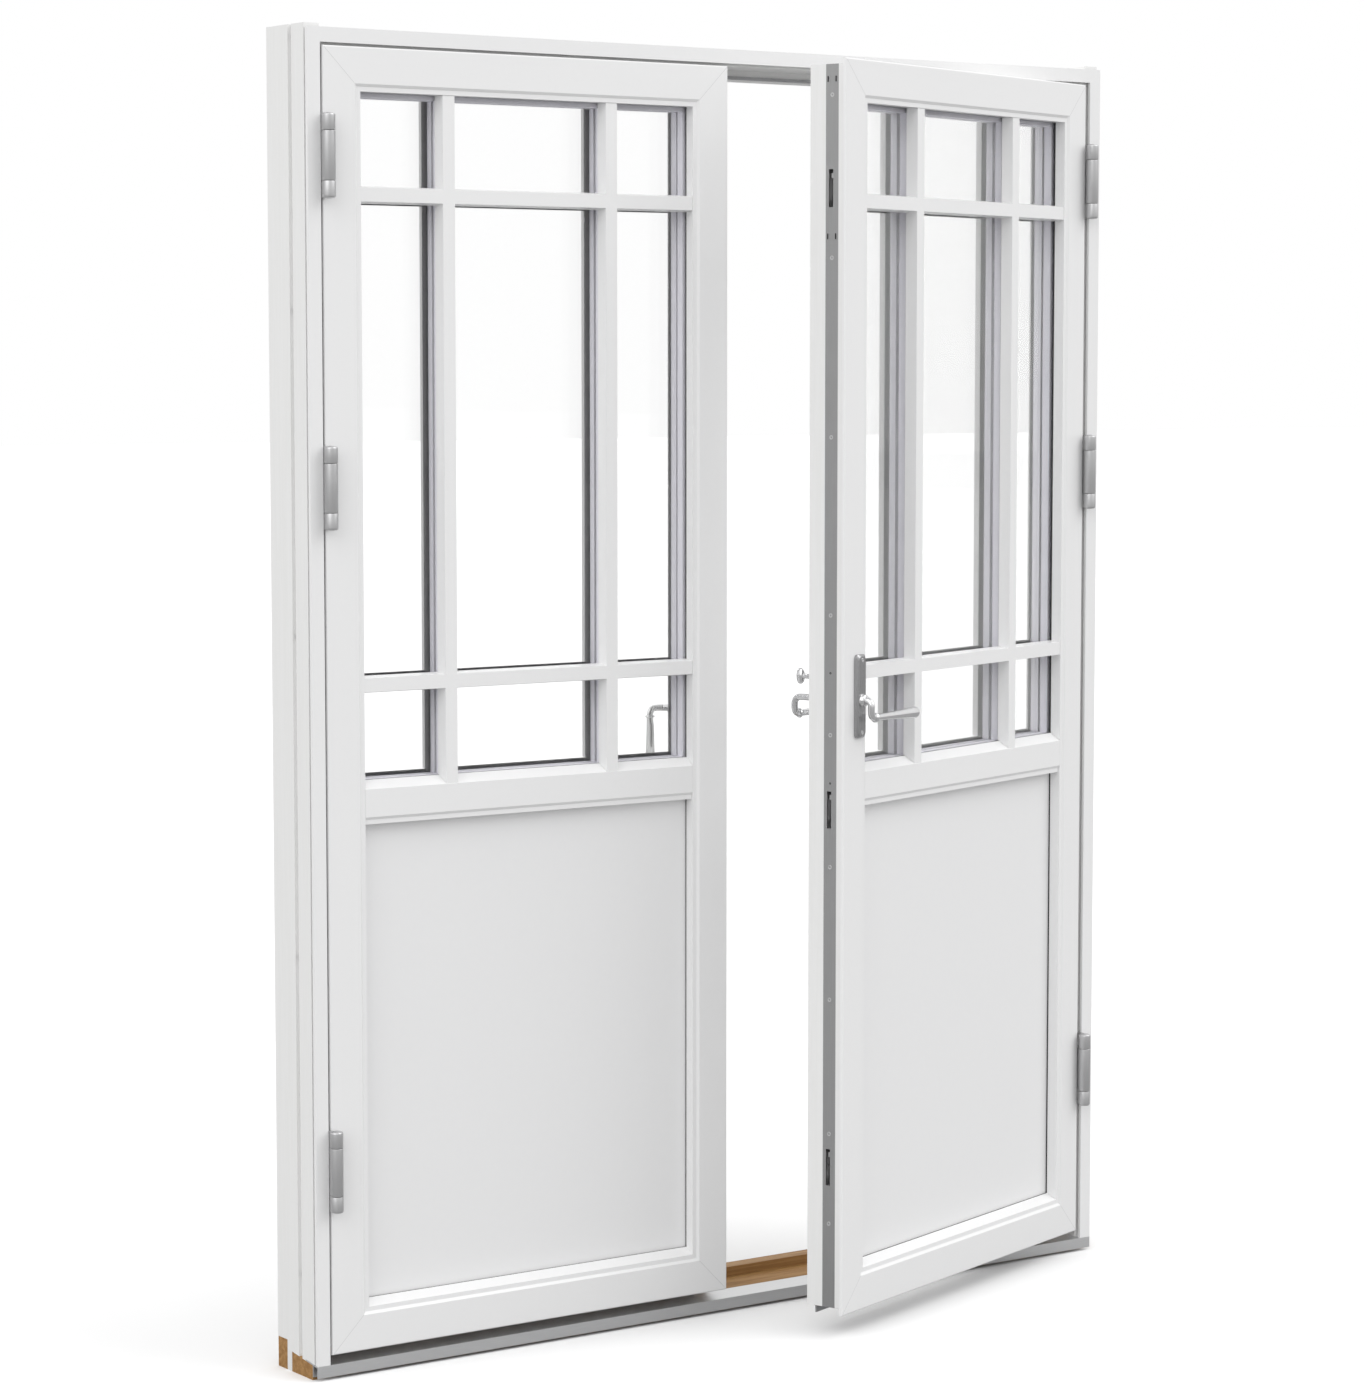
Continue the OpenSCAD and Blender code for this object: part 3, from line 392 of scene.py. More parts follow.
class Palette:
    """Every material of the doors, made once and found by name."""

    def __init__(self, groups: Groups, open_angle: float) -> None:
        """Builds the materials.

        Args:
            groups: The shared shader groups.
            open_angle: How far the active leaf stands open, in radians.
        """
        chrome, plated = (0.78, 0.78, 0.785), (0.6, 0.6, 0.605)
        finishes = (
            painted_timber("timber_upright", Grain.ALONG_Z),
            painted_timber("timber_level", Grain.ALONG_X),
            painted_timber("timber_level_turned", Grain.ALONG_X, open_angle),
            Finish("powder_coat", (0.88, 0.88, 0.88), (0.865, 0.865, 0.868), 0.34, 0.05, across=160.0,
                   bump=0.05, relief=0.04, coat=0.12),
            Finish("panel_coat", (0.87, 0.87, 0.872), (0.855, 0.855, 0.86), 0.38, 0.06, across=90.0,
                   bump=0.05, relief=0.04, coat=0.08),
            Finish("oiled_oak", (0.45, 0.25, 0.085), (0.30, 0.15, 0.045), 0.55, 0.12,
                   grain=Grain.ALONG_X, across=110.0, along=4.0, bump=0.35, relief=0.25, wooden=True),
            Finish("white_plastic", (0.84, 0.84, 0.83), (0.8, 0.8, 0.79), 0.5, 0.08, across=80.0),
            metal("nose_aluminium", (0.8, 0.805, 0.81), 0.4, Grain.ALONG_X),
            Finish("spacer_foil", (0.86, 0.85, 0.91), (0.80, 0.79, 0.85), 0.5, 0.08, across=120.0),
            metal("plated_steel", plated, 0.42),
            metal("faceplate_steel", (0.4, 0.4, 0.402), 0.5),
            metal("hinge_nickel", (0.6, 0.6, 0.605), 0.42),
            metal("satin_chrome", chrome, 0.16, Grain.NONE),
            metal("backplate_chrome", (0.42, 0.42, 0.425), 0.28),
            rubber("grey_rubber", (0.34, 0.34, 0.35)),
            # Black rubber for the gaskets and the faceplate's marks; the same black is painted shade
            # inside the faceplate's slots.
            rubber("black_rubber", (0.018, 0.018, 0.019)),
            Finish("joint_shadow", (0.66, 0.66, 0.66), (0.6, 0.6, 0.6), 0.7, across=200.0),
            GlassFinish(),
        )
        self.materials = {finish.name: finish.build(groups) for finish in finishes}
        LOG.info("made %d materials", len(self.materials))

    def __getitem__(self, name: str) -> bpy.types.Material:
        """Finds a material by its finish's name."""
        return self.materials[name]


# ---------------------------------------------------------------- meshes


@dataclass
class Shape:
    """Vertices in millimetres and the faces between them."""

    points: list[Vector] = field(default_factory=list)
    faces: list[tuple[int, ...]] = field(default_factory=list)

    def include(self, other: Shape, place: Matrix | None = None) -> Shape:
        """Adds another shape's vertices and faces.

        Args:
            other: The shape to add.
            place: Where it goes, in millimetres.

        Returns:
            This shape, now larger.
        """
        start = len(self.points)
        matrix = place or Matrix.Identity(4)
        self.points += [matrix @ point for point in other.points]
        self.faces += [tuple(start + index for index in face) for face in other.faces]
        return self

    def mesh(self, name: str, place: Matrix | None = None, sharp: float = 32.0) -> bpy.types.Mesh:
        """Turns the shape into a mesh in metres with its faces pointing outwards.

        Args:
            name: The mesh's name.
            place: Where it goes, in millimetres.
            sharp: Edges turning more than this many degrees stay sharp.

        Returns:
            The mesh.
        """
        matrix = Matrix.Scale(MM, 4) @ (place or Matrix.Identity(4))
        work = bmesh.new()
        corners = [work.verts.new(matrix @ point) for point in self.points]
        for face in self.faces:
            work.faces.new([corners[index] for index in face])
        bmesh.ops.remove_doubles(work, verts=work.verts, dist=0.001 * MM)
        bmesh.ops.recalc_face_normals(work, faces=work.faces)
        made = bpy.data.meshes.new(name)
        work.to_mesh(made)
        work.free()
        made.shade_smooth()
        made.set_sharp_from_angle(angle=math.radians(sharp))
        return made


def loft(rings: Sequence[Sequence[Vector]]) -> Shape:
    """Skins closed rings of equal length and closes both ends.

    Args:
        rings: The rings, in order.

    Returns:
        A closed shape.
    """
    count = len(rings[0])
    shape = Shape([point for ring in rings for point in ring])
    for row in range(len(rings) - 1):
        for index in range(count):
            following = (index + 1) % count
            shape.faces.append((row * count + index, row * count + following,
                                (row + 1) * count + following, (row + 1) * count + index))
    shape.faces.append(tuple(range(count)))
    last = (len(rings) - 1) * count
    shape.faces.append(tuple(range(last + count - 1, last - 1, -1)))
    return shape


def turned(profile: Sequence[tuple[float, float]], sides: int = 40, lobes: Sequence[float] = ()) -> Shape:
    """Turns a profile about Z.

    Args:
        profile: Radius and height of each ring, with small radii at the ends.
        sides: Corners of each ring.
        lobes: Depth of a six-fold wave in each ring, as a share of its radius.

    Returns:
        A closed shape.
    """
    rings = []
    for row, (radius, height) in enumerate(profile):
        wave = lobes[row] if row < len(lobes) else 0.0
        angles = [2 * math.pi * index / sides for index in range(sides)]
        rings.append([Vector((radius * (1 + wave * math.cos(6 * angle)) * math.cos(angle),
                              radius * (1 + wave * math.cos(6 * angle)) * math.sin(angle), height))
                      for angle in angles])
    return loft(rings)


def eased_box(low: Point, high: Point, ease: float = 0.4) -> Shape:
    """A box whose long edges are eased, between two corners.

    Args:
        low: Lowest corner.
        high: Highest corner.
        ease: Width of the flat on each upright edge and on both ends.

    Returns:
        A closed shape.
    """
    rings = []
    for height, inset in ((low[2], ease), (low[2] + ease, 0.0), (high[2] - ease, 0.0), (high[2], ease)):
        x0, y0, x1, y1 = low[0] + inset, low[1] + inset, high[0] - inset, high[1] - inset
        rings.append([Vector((x, y, height)) for x, y in (
            (x0 + ease, y0), (x1 - ease, y0), (x1, y0 + ease), (x1, y1 - ease),
            (x1 - ease, y1), (x0 + ease, y1), (x0, y1 - ease), (x0, y0 + ease))])
    return loft(rings)


def copies_tree() -> bpy.types.NodeTree:
    """Builds the tree that puts one piece at every vertex of a mesh.

    Returns:
        The geometry node tree, with inputs Piece, Turn and Finish.
    """
    graph, ins, outs = new_group(
        "GeometryNodeTree", "copies_at_points",
        (("Geometry", "NodeSocketGeometry", None), ("Piece", "NodeSocketObject", None),
         ("Turn", "NodeSocketVector", None), ("Finish", "NodeSocketMaterial", None)),
        (("Geometry", "NodeSocketGeometry"),))
    piece = graph.add("GeometryNodeObjectInfo", {"Object": ins.outputs["Piece"]})
    placed = graph.add("GeometryNodeInstanceOnPoints",
                       {"Points": ins.outputs["Geometry"], "Instance": piece.outputs["Geometry"],
                        "Rotation": ins.outputs["Turn"]})
    real = graph.add("GeometryNodeRealizeInstances", {"Geometry": placed.outputs["Instances"]})
    dressed = graph.add("GeometryNodeSetMaterial", {"Geometry": real.outputs["Geometry"],
                                                    "Material": ins.outputs["Finish"]})
    graph.join(dressed.outputs["Geometry"], outs.inputs["Geometry"])
    return graph.tree


def bar_tree() -> bpy.types.NodeTree:
    """Builds the tree that sweeps a round bar along a line, as thick as its radius attribute.

    Returns:
        The geometry node tree, with inputs Sides and Finish.
    """
    graph, ins, outs = new_group(
        "GeometryNodeTree", "swept_bar",
        (("Geometry", "NodeSocketGeometry", None), ("Sides", "NodeSocketInt", 32),
         ("Finish", "NodeSocketMaterial", None)), (("Geometry", "NodeSocketGeometry"),))
    line = graph.add("GeometryNodeMeshToCurve", {"Mesh": ins.outputs["Geometry"]})
    width = graph.add("GeometryNodeInputNamedAttribute", {"Name": "bar_radius"}, data_type="FLOAT")
    sized = graph.add("GeometryNodeSetCurveRadius", {"Curve": line.outputs[0],
                                                     "Radius": width.outputs["Attribute"]})
    ring = graph.add("GeometryNodeCurvePrimitiveCircle", {"Resolution": ins.outputs["Sides"],
                                                          "Radius": 1.0})
    skin = graph.add("GeometryNodeCurveToMesh", {"Curve": sized.outputs[0],
                                                 "Profile Curve": ring.outputs[0], "Fill Caps": True})
    if "Scale" in skin.inputs:
        graph.join(graph.add("GeometryNodeInputRadius").outputs[0], skin.inputs["Scale"])
    real = graph.add("GeometryNodeRealizeInstances", {"Geometry": skin.outputs[0]})
    dressed = graph.add("GeometryNodeSetMaterial", {"Geometry": real.outputs["Geometry"],
                                                    "Material": ins.outputs["Finish"]})
    graph.join(dressed.outputs["Geometry"], outs.inputs["Geometry"])
    return graph.tree


def joined(name: str, parts: Iterable[bpy.types.Mesh], outwards: bool = False) -> bpy.types.Mesh:
    """Joins meshes into a new one.

    Args:
        name: The new mesh's name.
        parts: The meshes.
        outwards: Whether to turn every face outwards.

    Returns:
        The joined mesh.
    """
    work = bmesh.new()
    for part in parts:
        work.from_mesh(part)
    if outwards:
        bmesh.ops.recalc_face_normals(work, faces=work.faces)
    whole = bpy.data.meshes.new(name)
    work.to_mesh(whole)
    work.free()
    return whole


def linked(name: str, mesh: bpy.types.Mesh) -> bpy.types.Object:
    """Makes an object of a mesh at the origin and links it to the scene."""
    made = bpy.data.objects.new(name, mesh)
    bpy.context.scene.collection.objects.link(made)
    return made


@dataclass
class Workshop:
    """Makes pieces, finishes them and puts them on their bodies.

    Attributes:
        palette: The doors' materials.
        copies: Tree that repeats a piece.
        bar: Tree that sweeps a bar.
    """

    palette: Palette
    copies: bpy.types.NodeTree
    bar: bpy.types.NodeTree

    def grown(self, name: str, base: bpy.types.Mesh, tree: bpy.types.NodeTree,
              values: dict[str, Any]) -> bpy.types.Mesh:
        """Runs a geometry node tree on a mesh and keeps the result.

        Args:
            name: Name of the mesh that comes out.
            base: The mesh that goes in.
            tree: The geometry node tree.
            values: Its inputs, by name.

        Returns:
            A plain mesh.
        """
        host = linked(name + "_base", base)
        modifier = host.modifiers.new("grow", "NODES")
        modifier.node_group = tree
        sockets = {item.name: item.identifier for item in tree.interface.items_tree
                   if item.in_out == "INPUT"}
        for label, value in values.items():
            modifier[sockets[label]] = value
        bpy.context.view_layer.update()
        seen = host.evaluated_get(bpy.context.evaluated_depsgraph_get())
        result = bpy.data.meshes.new_from_object(seen)
        result.name = name
        host.modifiers.remove(modifier)
        bpy.data.objects.remove(host)
        return result

    def repeated(self, name: str, source: bpy.types.Mesh, places: Iterable[Vector], finish: str,
                 turn: Point = (0.0, 0.0, 0.0)) -> bpy.types.Mesh:
        """Repeats a piece at points given in metres.

        Args:
            name: Name of the mesh that comes out.
            source: The piece to repeat.
            places: Where each copy goes.
            finish: Name of its finish.
            turn: Turn of every copy, in radians about X, Y and Z.

        Returns:
            A plain mesh of all the copies.
        """
        piece = linked(name + "_source", source)
        base = bpy.data.meshes.new(name + "_points")
        base.from_pydata([tuple(place) for place in places], [], [])
        made = self.grown(name, base, self.copies,
                          {"Piece": piece, "Turn": turn, "Finish": self.palette[finish]})
        bpy.data.objects.remove(piece)
        return made

    def place(self, name: str, mesh: bpy.types.Mesh, finish: str, body: str, slot: str,
              stands_for: Sequence[str] = ()) -> bpy.types.Object:
        """Makes the piece of a mesh and puts it on its body.

        Args:
            name: The piece's name.
            mesh: Its mesh, in metres.
            finish: Name of its finish.
            body: The body that it rides on.
            slot: The record's material slot; not used.
            stands_for: Nodes of the frame that it replaces.

        Returns:
            The piece.
        """
        piece = linked(name, mesh)
        mesh.materials.clear()
        mesh.materials.append(self.palette[finish])
        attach(piece, body)
        if stands_for:
            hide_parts(*stands_for)
        LOG.info("%s: %d faces on %s", name, len(mesh.polygons), body)
        return piece


# ---------------------------------------------------------------- the leaves


@dataclass(frozen=True)
class Leaf:
    """Where one leaf is. Its points are (inward from the meeting edge, depth, height), in mm.

    Attributes:
        body: The body of the leaf.
        meeting_x: X of its meeting edge when it is closed.
        inward: +1 if inward is +X, -1 if it is -X.
        width: Width of the leaf.
        pivot: X and Y of its hinge axis.
        angle: How far it stands open, in radians.
        bottom: Height of its underside.
        top: Height of its top.
    """

    body: str
    meeting_x: float
    inward: int
    width: float
    pivot: tuple[float, float]
    angle: float
    bottom: float
    top: float

    def place(self) -> Matrix:
        """Gives the matrix from the leaf's own points to the row frame, in millimetres."""
        closed = Matrix.Translation((self.meeting_x, 0, 0)) @ Matrix.Diagonal((self.inward, 1, 1, 1))
        hinge = Matrix.Translation((*self.pivot, 0))
        return hinge @ Matrix.Rotation(self.angle, 4, "Z") @ hinge.inverted() @ closed

    def at(self, inward: float, depth: float, height: float) -> Vector:
        """Gives one point of the leaf in the row frame, in metres."""
        return (self.place() @ Vector((inward, depth, height))) * MM


def leaves_of(frame: dict[str, Any]) -> tuple[Leaf, Leaf]:
    """Reads both leaves' places from the frame.


    Returns:
        The passive leaf and the active leaf.
    """
    joints = {joint["name"]: joint for joint in frame["joints"]}
    low, high = (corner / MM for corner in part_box("passive_cladding"))
    pivots = {}
    for name in ("passive_leaf_swing", "active_leaf_swing"):
        pivots[name] = tuple(part / MM for part in joints[name]["pos_m"][:2])
    angle = math.radians(-joints["active_leaf_swing"]["range_deg"][0])
    passive = Leaf("passive_leaf", high.x, -1, high.x - low.x, pivots["passive_leaf_swing"], 0.0,
                   low.z, high.z)
    active = Leaf("active_leaf", high.x + MEETING_GAP, 1, -low.x - high.x - MEETING_GAP,
                  pivots["active_leaf_swing"], angle, low.z, high.z)
    return passive, active


# ---------------------------------------------------------------- handles


def axes_out(out: int) -> Matrix:
    """Turns a piece's own Y upwards and its Z to the room (+1) or outdoors (-1)."""
    return Matrix(((1, 0, 0, 0), (0, 0, out, 0), (0, 1, 0, 0), (0, 0, 0, 1)))


def arc(centre: Vector, start: Vector, end: Vector, steps: int = 9) -> list[Vector]:
    """Points on a quarter circle from centre + start to centre + end."""
    angles = [QUARTER * step / steps for step in range(steps + 1)]
    return [centre + start * math.cos(angle) + end * math.sin(angle) for angle in angles]


@dataclass
class Lever:
    """A cranked lever: a round rose, a neck, a collar and a grip that thickens to its end.

    Attributes:
        name: The piece's name.
        leaf: The leaf that it is on.
        height: Height of its spindle.
        outside: Whether it is on the outer face.
        reach: How far the grip's axis stands off the backplate.
        body: The body that it rides on.
        hanging: Whether the grip points down at rest.
        backset: Distance from the meeting edge to the spindle.
        face: Depth of the leaf's room face.
        plate: Thickness of the backplate.
        drop: Distance from the spindle to the grip's axis.
        length: Length of the grip.
        bend: Radius of the neck's bends.
        neck: Radius of the neck.
        tip: Radius of the grip near its end.
        depth: How much deeper than high the grip is behind its collar.
    """

    name: str
    leaf: Leaf
    height: float
    outside: bool
    reach: float
    body: str
    hanging: bool = False
    backset: float = BACKSET
    face: float = ROOM_FACE
    plate: float = PLATE
    drop: float = 28.0
    length: float = 138.0
    bend: float = 11.0
    neck: float = 5.4
    tip: float = 9.8
    depth: float = 0.7

    def line(self) -> list[tuple[Vector, float]]:
        """Gives the bar's centre line with its radius at each point, in the lever's own frame.

        Returns:
            Points with the plate at z = 0, the grip along +X and dropped towards -Y.
        """
        bend, low = self.bend, -self.drop
        turn_out = arc(Vector((0, -bend, self.reach - bend)), Vector((0, bend, 0)), Vector((0, 0, bend)))
        turn_in = arc(Vector((bend, low + bend, self.reach)), Vector((-bend, 0, 0)), Vector((0, -bend, 0)))
        line = [(Vector((0, 0, 3.0)), self.neck + 0.8), (Vector((0, 0, 7.0)), self.neck + 0.2)]
        line += [(point, self.neck) for point in turn_out + turn_in]
        collar = ((0.4, 0.0), (1.2, 2.2), (2.6, 2.7), (4.0, 2.2), (4.8, 0.2))
        line += [(Vector((bend + x, low, self.reach)), self.neck + extra) for x, extra in collar]
        start, straight, steps = bend + collar[-1][0], self.length - self.tip, 16
        for step in range(1, steps + 1):
            share = step / steps
            x = start + (straight - start) * share
            swell = self.neck + (self.tip - self.neck) * share ** 1.5
            line.append((Vector((x, low, self.reach)), swell))
        for step in range(1, 9):
            angle = QUARTER * step / 8.2
            line.append((Vector((straight + self.tip * math.sin(angle), low, self.reach)),
                         self.tip * math.cos(angle)))
        return line

    def placing(self) -> Matrix:
        """Gives the matrix from the lever's own frame to the row frame, in millimetres."""
        out = -1 if self.outside else 1
        depth = -self.plate if self.outside else self.face + self.plate
        if self.hanging:
            axes = Matrix(((0, -1, 0, 0), (0, 0, out, 0), (-1, 0, 0, 0), (0, 0, 0, 1)))
        else:
            axes = axes_out(out)
        return self.leaf.place() @ Matrix.Translation((self.backset, depth, self.height)) @ axes

    def build(self, shop: Workshop) -> None:
        """Sweeps the bar, turns the rose and puts both on the handle's body.

        Args:
            shop: The workshop.
        """
        place, line = self.placing(), self.line()
        base = bpy.data.meshes.new(self.name + "_line")
        base.from_pydata([tuple(point * MM) for point, _ in line],
                         [(index, index + 1) for index in range(len(line) - 1)], [])
        width = base.attributes.new("bar_radius", "FLOAT", "POINT")
        width.data.foreach_set("value", [radius * MM for _, radius in line])
        bar = shop.grown(self.name, base, shop.bar, {"Sides": 32, "Finish": shop.palette["satin_chrome"]})
        start = self.bend + 4.0
        for vertex in bar.vertices:
            point = vertex.co / MM
            along = (point.x - start) / (self.length - start)
            if along > 0 and point.z < self.reach:
                deeper = 1 + self.depth * min(1.0, 8 * along) * (1 - along)
                point.z = self.reach + (point.z - self.reach) * deeper
            vertex.co = (place @ point) * MM
        rose = turned(((0.1, 0.1), (10.3, 0.1), (10.4, 1.4), (9.6, 2.4), (9.4, 5.2), (8.6, 6.6),
                       (self.neck + 0.9, 7.6), (0.1, 7.8))).mesh(self.name + "_rose", place)
        whole = joined(self.name, (bar, rose), outwards=True)
        whole.shade_smooth()
        whole.set_sharp_from_angle(angle=math.radians(38))
        shop.place(self.name + "_grip", whole, "satin_chrome", self.body, "handle_metal", [self.name])


@dataclass
class Backplate:
    """A chamfered backplate with arched ends and a screw near each end.

    Attributes:
        name: The node that it replaces.
        leaf: The leaf that it is on.
        outside: Whether it is on the outer face.
        middle: Height of its middle.
        backset: Distance from the meeting edge to its middle.
        face: Depth of the leaf's room face.
        width: Its width.
        height: Its height.
        thick: Its thickness.
        chamfer: Width of the chamfer round its face.
    """

    name: str
    leaf: Leaf
    outside: bool
    middle: float
    backset: float = BACKSET
    face: float = ROOM_FACE
    width: float = 26.0
    height: float = 135.0
    thick: float = PLATE
    chamfer: float = 3.4

    def ring(self, inset: float, level: float) -> list[Vector]:
        """Gives the plate's outline at one level.

        Args:
            inset: How far it lies inside the full outline.
            level: Its height over the leaf.

        Returns:
            A closed ring of points.
        """
        half_w, half_h, corner = self.width / 2 - inset, self.height / 2 - inset, 6.0
        ring = []
        for quarter, (side, end) in enumerate(((1, 1), (-1, 1), (-1, -1), (1, -1))):
            centre = Vector((side * (half_w - corner), end * (half_h - 1.2 * corner), level))
            for step in range(9):
                angle = QUARTER * (quarter + step / 8)
                ring.append(centre + Vector((corner * math.cos(angle), 1.2 * corner * math.sin(angle), 0)))
        return ring

    def build(self, shop: Workshop) -> None:
        """Lofts the plate and adds its two screws.

        Args:
            shop: The workshop.
        """
        out = -1 if self.outside else 1
        depth = 0.0 if self.outside else self.face
        spot = Matrix.Translation((self.backset, depth, self.middle))
        place = self.leaf.place() @ spot @ axes_out(out)
        flat = self.thick - 0.05
        plate = loft([self.ring(0.4, 0.0), self.ring(0.0, 0.4), self.ring(0.0, flat - self.chamfer),
                      self.ring(self.chamfer, flat)])
        shop.place(self.name + "_plate", plate.mesh(self.name, place, 20), "backplate_chrome",
                   self.leaf.body, "handle_metal", [self.name])
        screws = Shape()
        for end in (-1, 1):
            spot = Matrix.Translation((0, end * (self.height / 2 - 9), flat))
            screws.include(screw_head(3.4), spot)
        shop.place(self.name + "_screws", screws.mesh(self.name + "_screws", place), "satin_chrome",
                   self.leaf.body, "handle_metal")


def screw_head(radius: float, proud: float = 0.5) -> Shape:
    """A low round screw head with a six-lobed socket, on the plane z = 0.

    Args:
        radius: Its radius.
        proud: How far it stands out.

    Returns:
        A closed shape.
    """
    socket = 0.42 * radius
    return turned(((0.05, -1.2), (radius, -1.2), (radius, proud - 0.25), (0.9 * radius, proud),
                   (1.15 * socket, proud), (socket, proud - 0.1), (0.9 * socket, proud - 1.1),
                   (0.05, proud - 1.15)), 24, (0, 0, 0, 0, 0.1, 0.14, 0.14, 0))


@dataclass
class ThumbTurn:
    """The oval thumb turn inside the active leaf.

    Attributes:
        leaf: The active leaf.
        height: Height of its axis.
        backset: Distance from the meeting edge to its axis.
        base: Depth of the backplate's face.
        reach: Distance from that face to its end.
    """

    leaf: Leaf
    height: float
    backset: float = BACKSET
    base: float = ROOM_FACE + PLATE
    reach: float = 37.0

    def build(self, shop: Workshop) -> None:
        """Turns the stem and shapes the oval.

        Args:
            shop: The workshop.
        """
        spot = Matrix.Translation((self.backset, self.base, self.height))
        place = self.leaf.place() @ spot @ axes_out(1)
        whole = turned(((0.1, 0.4), (7.5, 0.4), (7.6, 2.0), (6.6, 4.6), (5.0, 9.0), (4.2, 16.0),
                        (4.0, self.reach - 11), (0.1, self.reach - 10)))
        rings, rows = [], 15
        half_w, half_h, half_t = 5.5, 13.0, 6.4
        for row in range(rows):
            rise = math.pi * ((row + 0.15) / (rows - 0.7) - 0.5)
            size = max(math.cos(rise), 0.0) ** 0.55
            level = self.reach - half_t + half_t * math.copysign(abs(math.sin(rise)) ** 0.8, rise)
            rings.append([Vector((half_w * size * math.cos(2 * math.pi * step / 40),
                                  half_h * size * math.sin(2 * math.pi * step / 40), level))
                          for step in range(40)])
        whole.include(loft(rings))
        shop.place("thumb_turn_knob", whole.mesh("thumb_turn_knob", place, 40), "satin_chrome",
                   "thumb_turn", "handle_metal", ["thumb_turn"])


# ---------------------------------------------------------------- hinges


@dataclass
class Hinges:
    """Lift-off hinges with three knuckles each, eased at every edge and capped at both ends.

    Attributes:
        leaves: The passive and the active leaf.
        radius: Radius of the knuckles.
        length: Length of a whole hinge.
        outer: Length of each frame knuckle.
        gap: Gap between the knuckles.
        crown: Radius of the rounding at both ends of a hinge.
        arm: Thickness of the arms.
        arm_x: Distance from the hinge axis to the arm's near side.
        arm_back: Depth that the arms reach to.
        inset: Distance from the leaf's edge to its timber.
    """

    leaves: tuple[Leaf, Leaf]
    radius: float = 10.0
    length: float = 128.0
    outer: float = 26.0
    gap: float = 0.4
    crown: float = 3.5
    arm: float = 2.6
    arm_x: float = 2.7
    arm_back: float = 42.0
    inset: float = 8.5

    def heights(self) -> list[float]:
        """Reads the heights of the hinges' middles from the frame's own pins."""
        tops = sorted({round(vertex.co.z / MM, 1)
                       for vertex in bpy.data.objects["hinge_pins"].data.vertices})
        return [(tops[2 * index] + tops[2 * index + 1]) / 2 for index in range(len(tops) // 2)]

    def knuckle(self, height: float, crown: float = 0.9) -> Shape:
        """Turns one knuckle about Z round the origin.

        Args:
            height: Its length.
            crown: Radius of the rounding at its upper end.

        Returns:
            A closed shape.
        """
        half, ease = height / 2, 0.9
        steps = [QUARTER * step / 6 for step in range(7)]
        top = [(self.radius - crown + crown * math.cos(step), half - crown + crown * math.sin(step))
               for step in steps]
        return turned(((0.1, -half), (self.radius - ease, -half), (self.radius - 0.25, -half + 0.25),
                       (self.radius, -half + ease), *top, (0.1, half)), 48)

    def frame_part(self, side: int, end: int, axis_y: float) -> Shape:
        """A frame knuckle with its arm, round the hinge axis, for one side.

        Args:
            side: +1 on the right, -1 on the left.
            end: +1 above the leaf's knuckle, -1 below it.
            axis_y: Depth of the hinge axis.

        Returns:
            A shape round the origin.
        """
        part, half = Shape(), self.outer / 2
        part.include(self.knuckle(self.outer, self.crown), Matrix.Diagonal((1, 1, end, 1)))
        near, far = sorted((side * self.arm_x, side * (self.arm_x + self.arm)))
        return part.include(eased_box((near, 0, -half), (far, self.arm_back - axis_y, half)))

    def leaf_part(self, side: int, axis_y: float) -> Shape:
        """A leaf knuckle with its cranked arm, round the hinge axis, for one side.

        Args:
            side: +1 on the right, -1 on the left.
            axis_y: Depth of the hinge axis.

        Returns:
            A shape round the origin.
        """
        height = self.length - 2 * self.outer - 2 * self.gap
        part, half = self.knuckle(height), height / 2
        lip, edge = 6.3 - axis_y, -self.inset + 1.5
        spans = ((self.arm_x, self.arm_x + self.arm, 0, lip + self.arm),
                 (edge, self.arm_x + self.arm, lip, lip + self.arm),
                 (edge, edge + self.arm, lip, self.arm_back - axis_y))
        for x0, x1, y0, y1 in spans:
            near, far = sorted((side * x0, side * x1))
            part.include(eased_box((near, y0, -half), (far, y1, half)))
        return part

    def build(self, shop: Workshop) -> None:
        """Makes the knuckles of the frame and of each leaf, and the pins' caps.

        Args:
            shop: The workshop.
        """
        heights, offset = self.heights(), (self.length - self.outer) / 2
        frame_parts = []
        for leaf, side in zip(self.leaves, (-1, 1)):
            x, y = leaf.pivot
            for end in (-1, 1):
                spots = [Vector((x, y, z + end * offset)) * MM for z in heights]
                part = self.frame_part(side, end, y).mesh("frame_part")
                frame_parts.append(shop.repeated("frame_part", part, spots, "hinge_nickel"))
            name = leaf.body + "_knuckles"
            middles = [Vector((x, y, z)) * MM for z in heights]
            made = shop.repeated(name, self.leaf_part(side, y).mesh(name), middles, "hinge_nickel",
                                 (0.0, 0.0, leaf.angle))
            shop.place(name, made, "hinge_nickel", leaf.body, "hinge_metal",
                       [leaf.body.split("_")[0] + "_hinge_arms"])
        shop.place("frame_knuckles", joined("frame_knuckles", frame_parts), "hinge_nickel", "frame",
                   "hinge_metal", ["hinge_frame_arms"])
        half = self.length / 2
        end_cap = ((0.1, 0.9), (3.4, 0.7), (4.6, 0.0), (4.0, -0.4))
        pin = turned([(radius, -half - rise) for radius, rise in end_cap]
                     + [(radius, half + rise) for radius, rise in reversed(end_cap)])
        spots = [Vector((*leaf.pivot, z)) * MM for leaf in self.leaves for z in heights]
        shop.place("hinge_pins_capped", shop.repeated("hinge_pins_capped", pin.mesh("pin"), spots,
                                                      "plated_steel"),
                   "plated_steel", "frame", "bright_steel", ["hinge_pins"])


# ---------------------------------------------------------------- small pieces


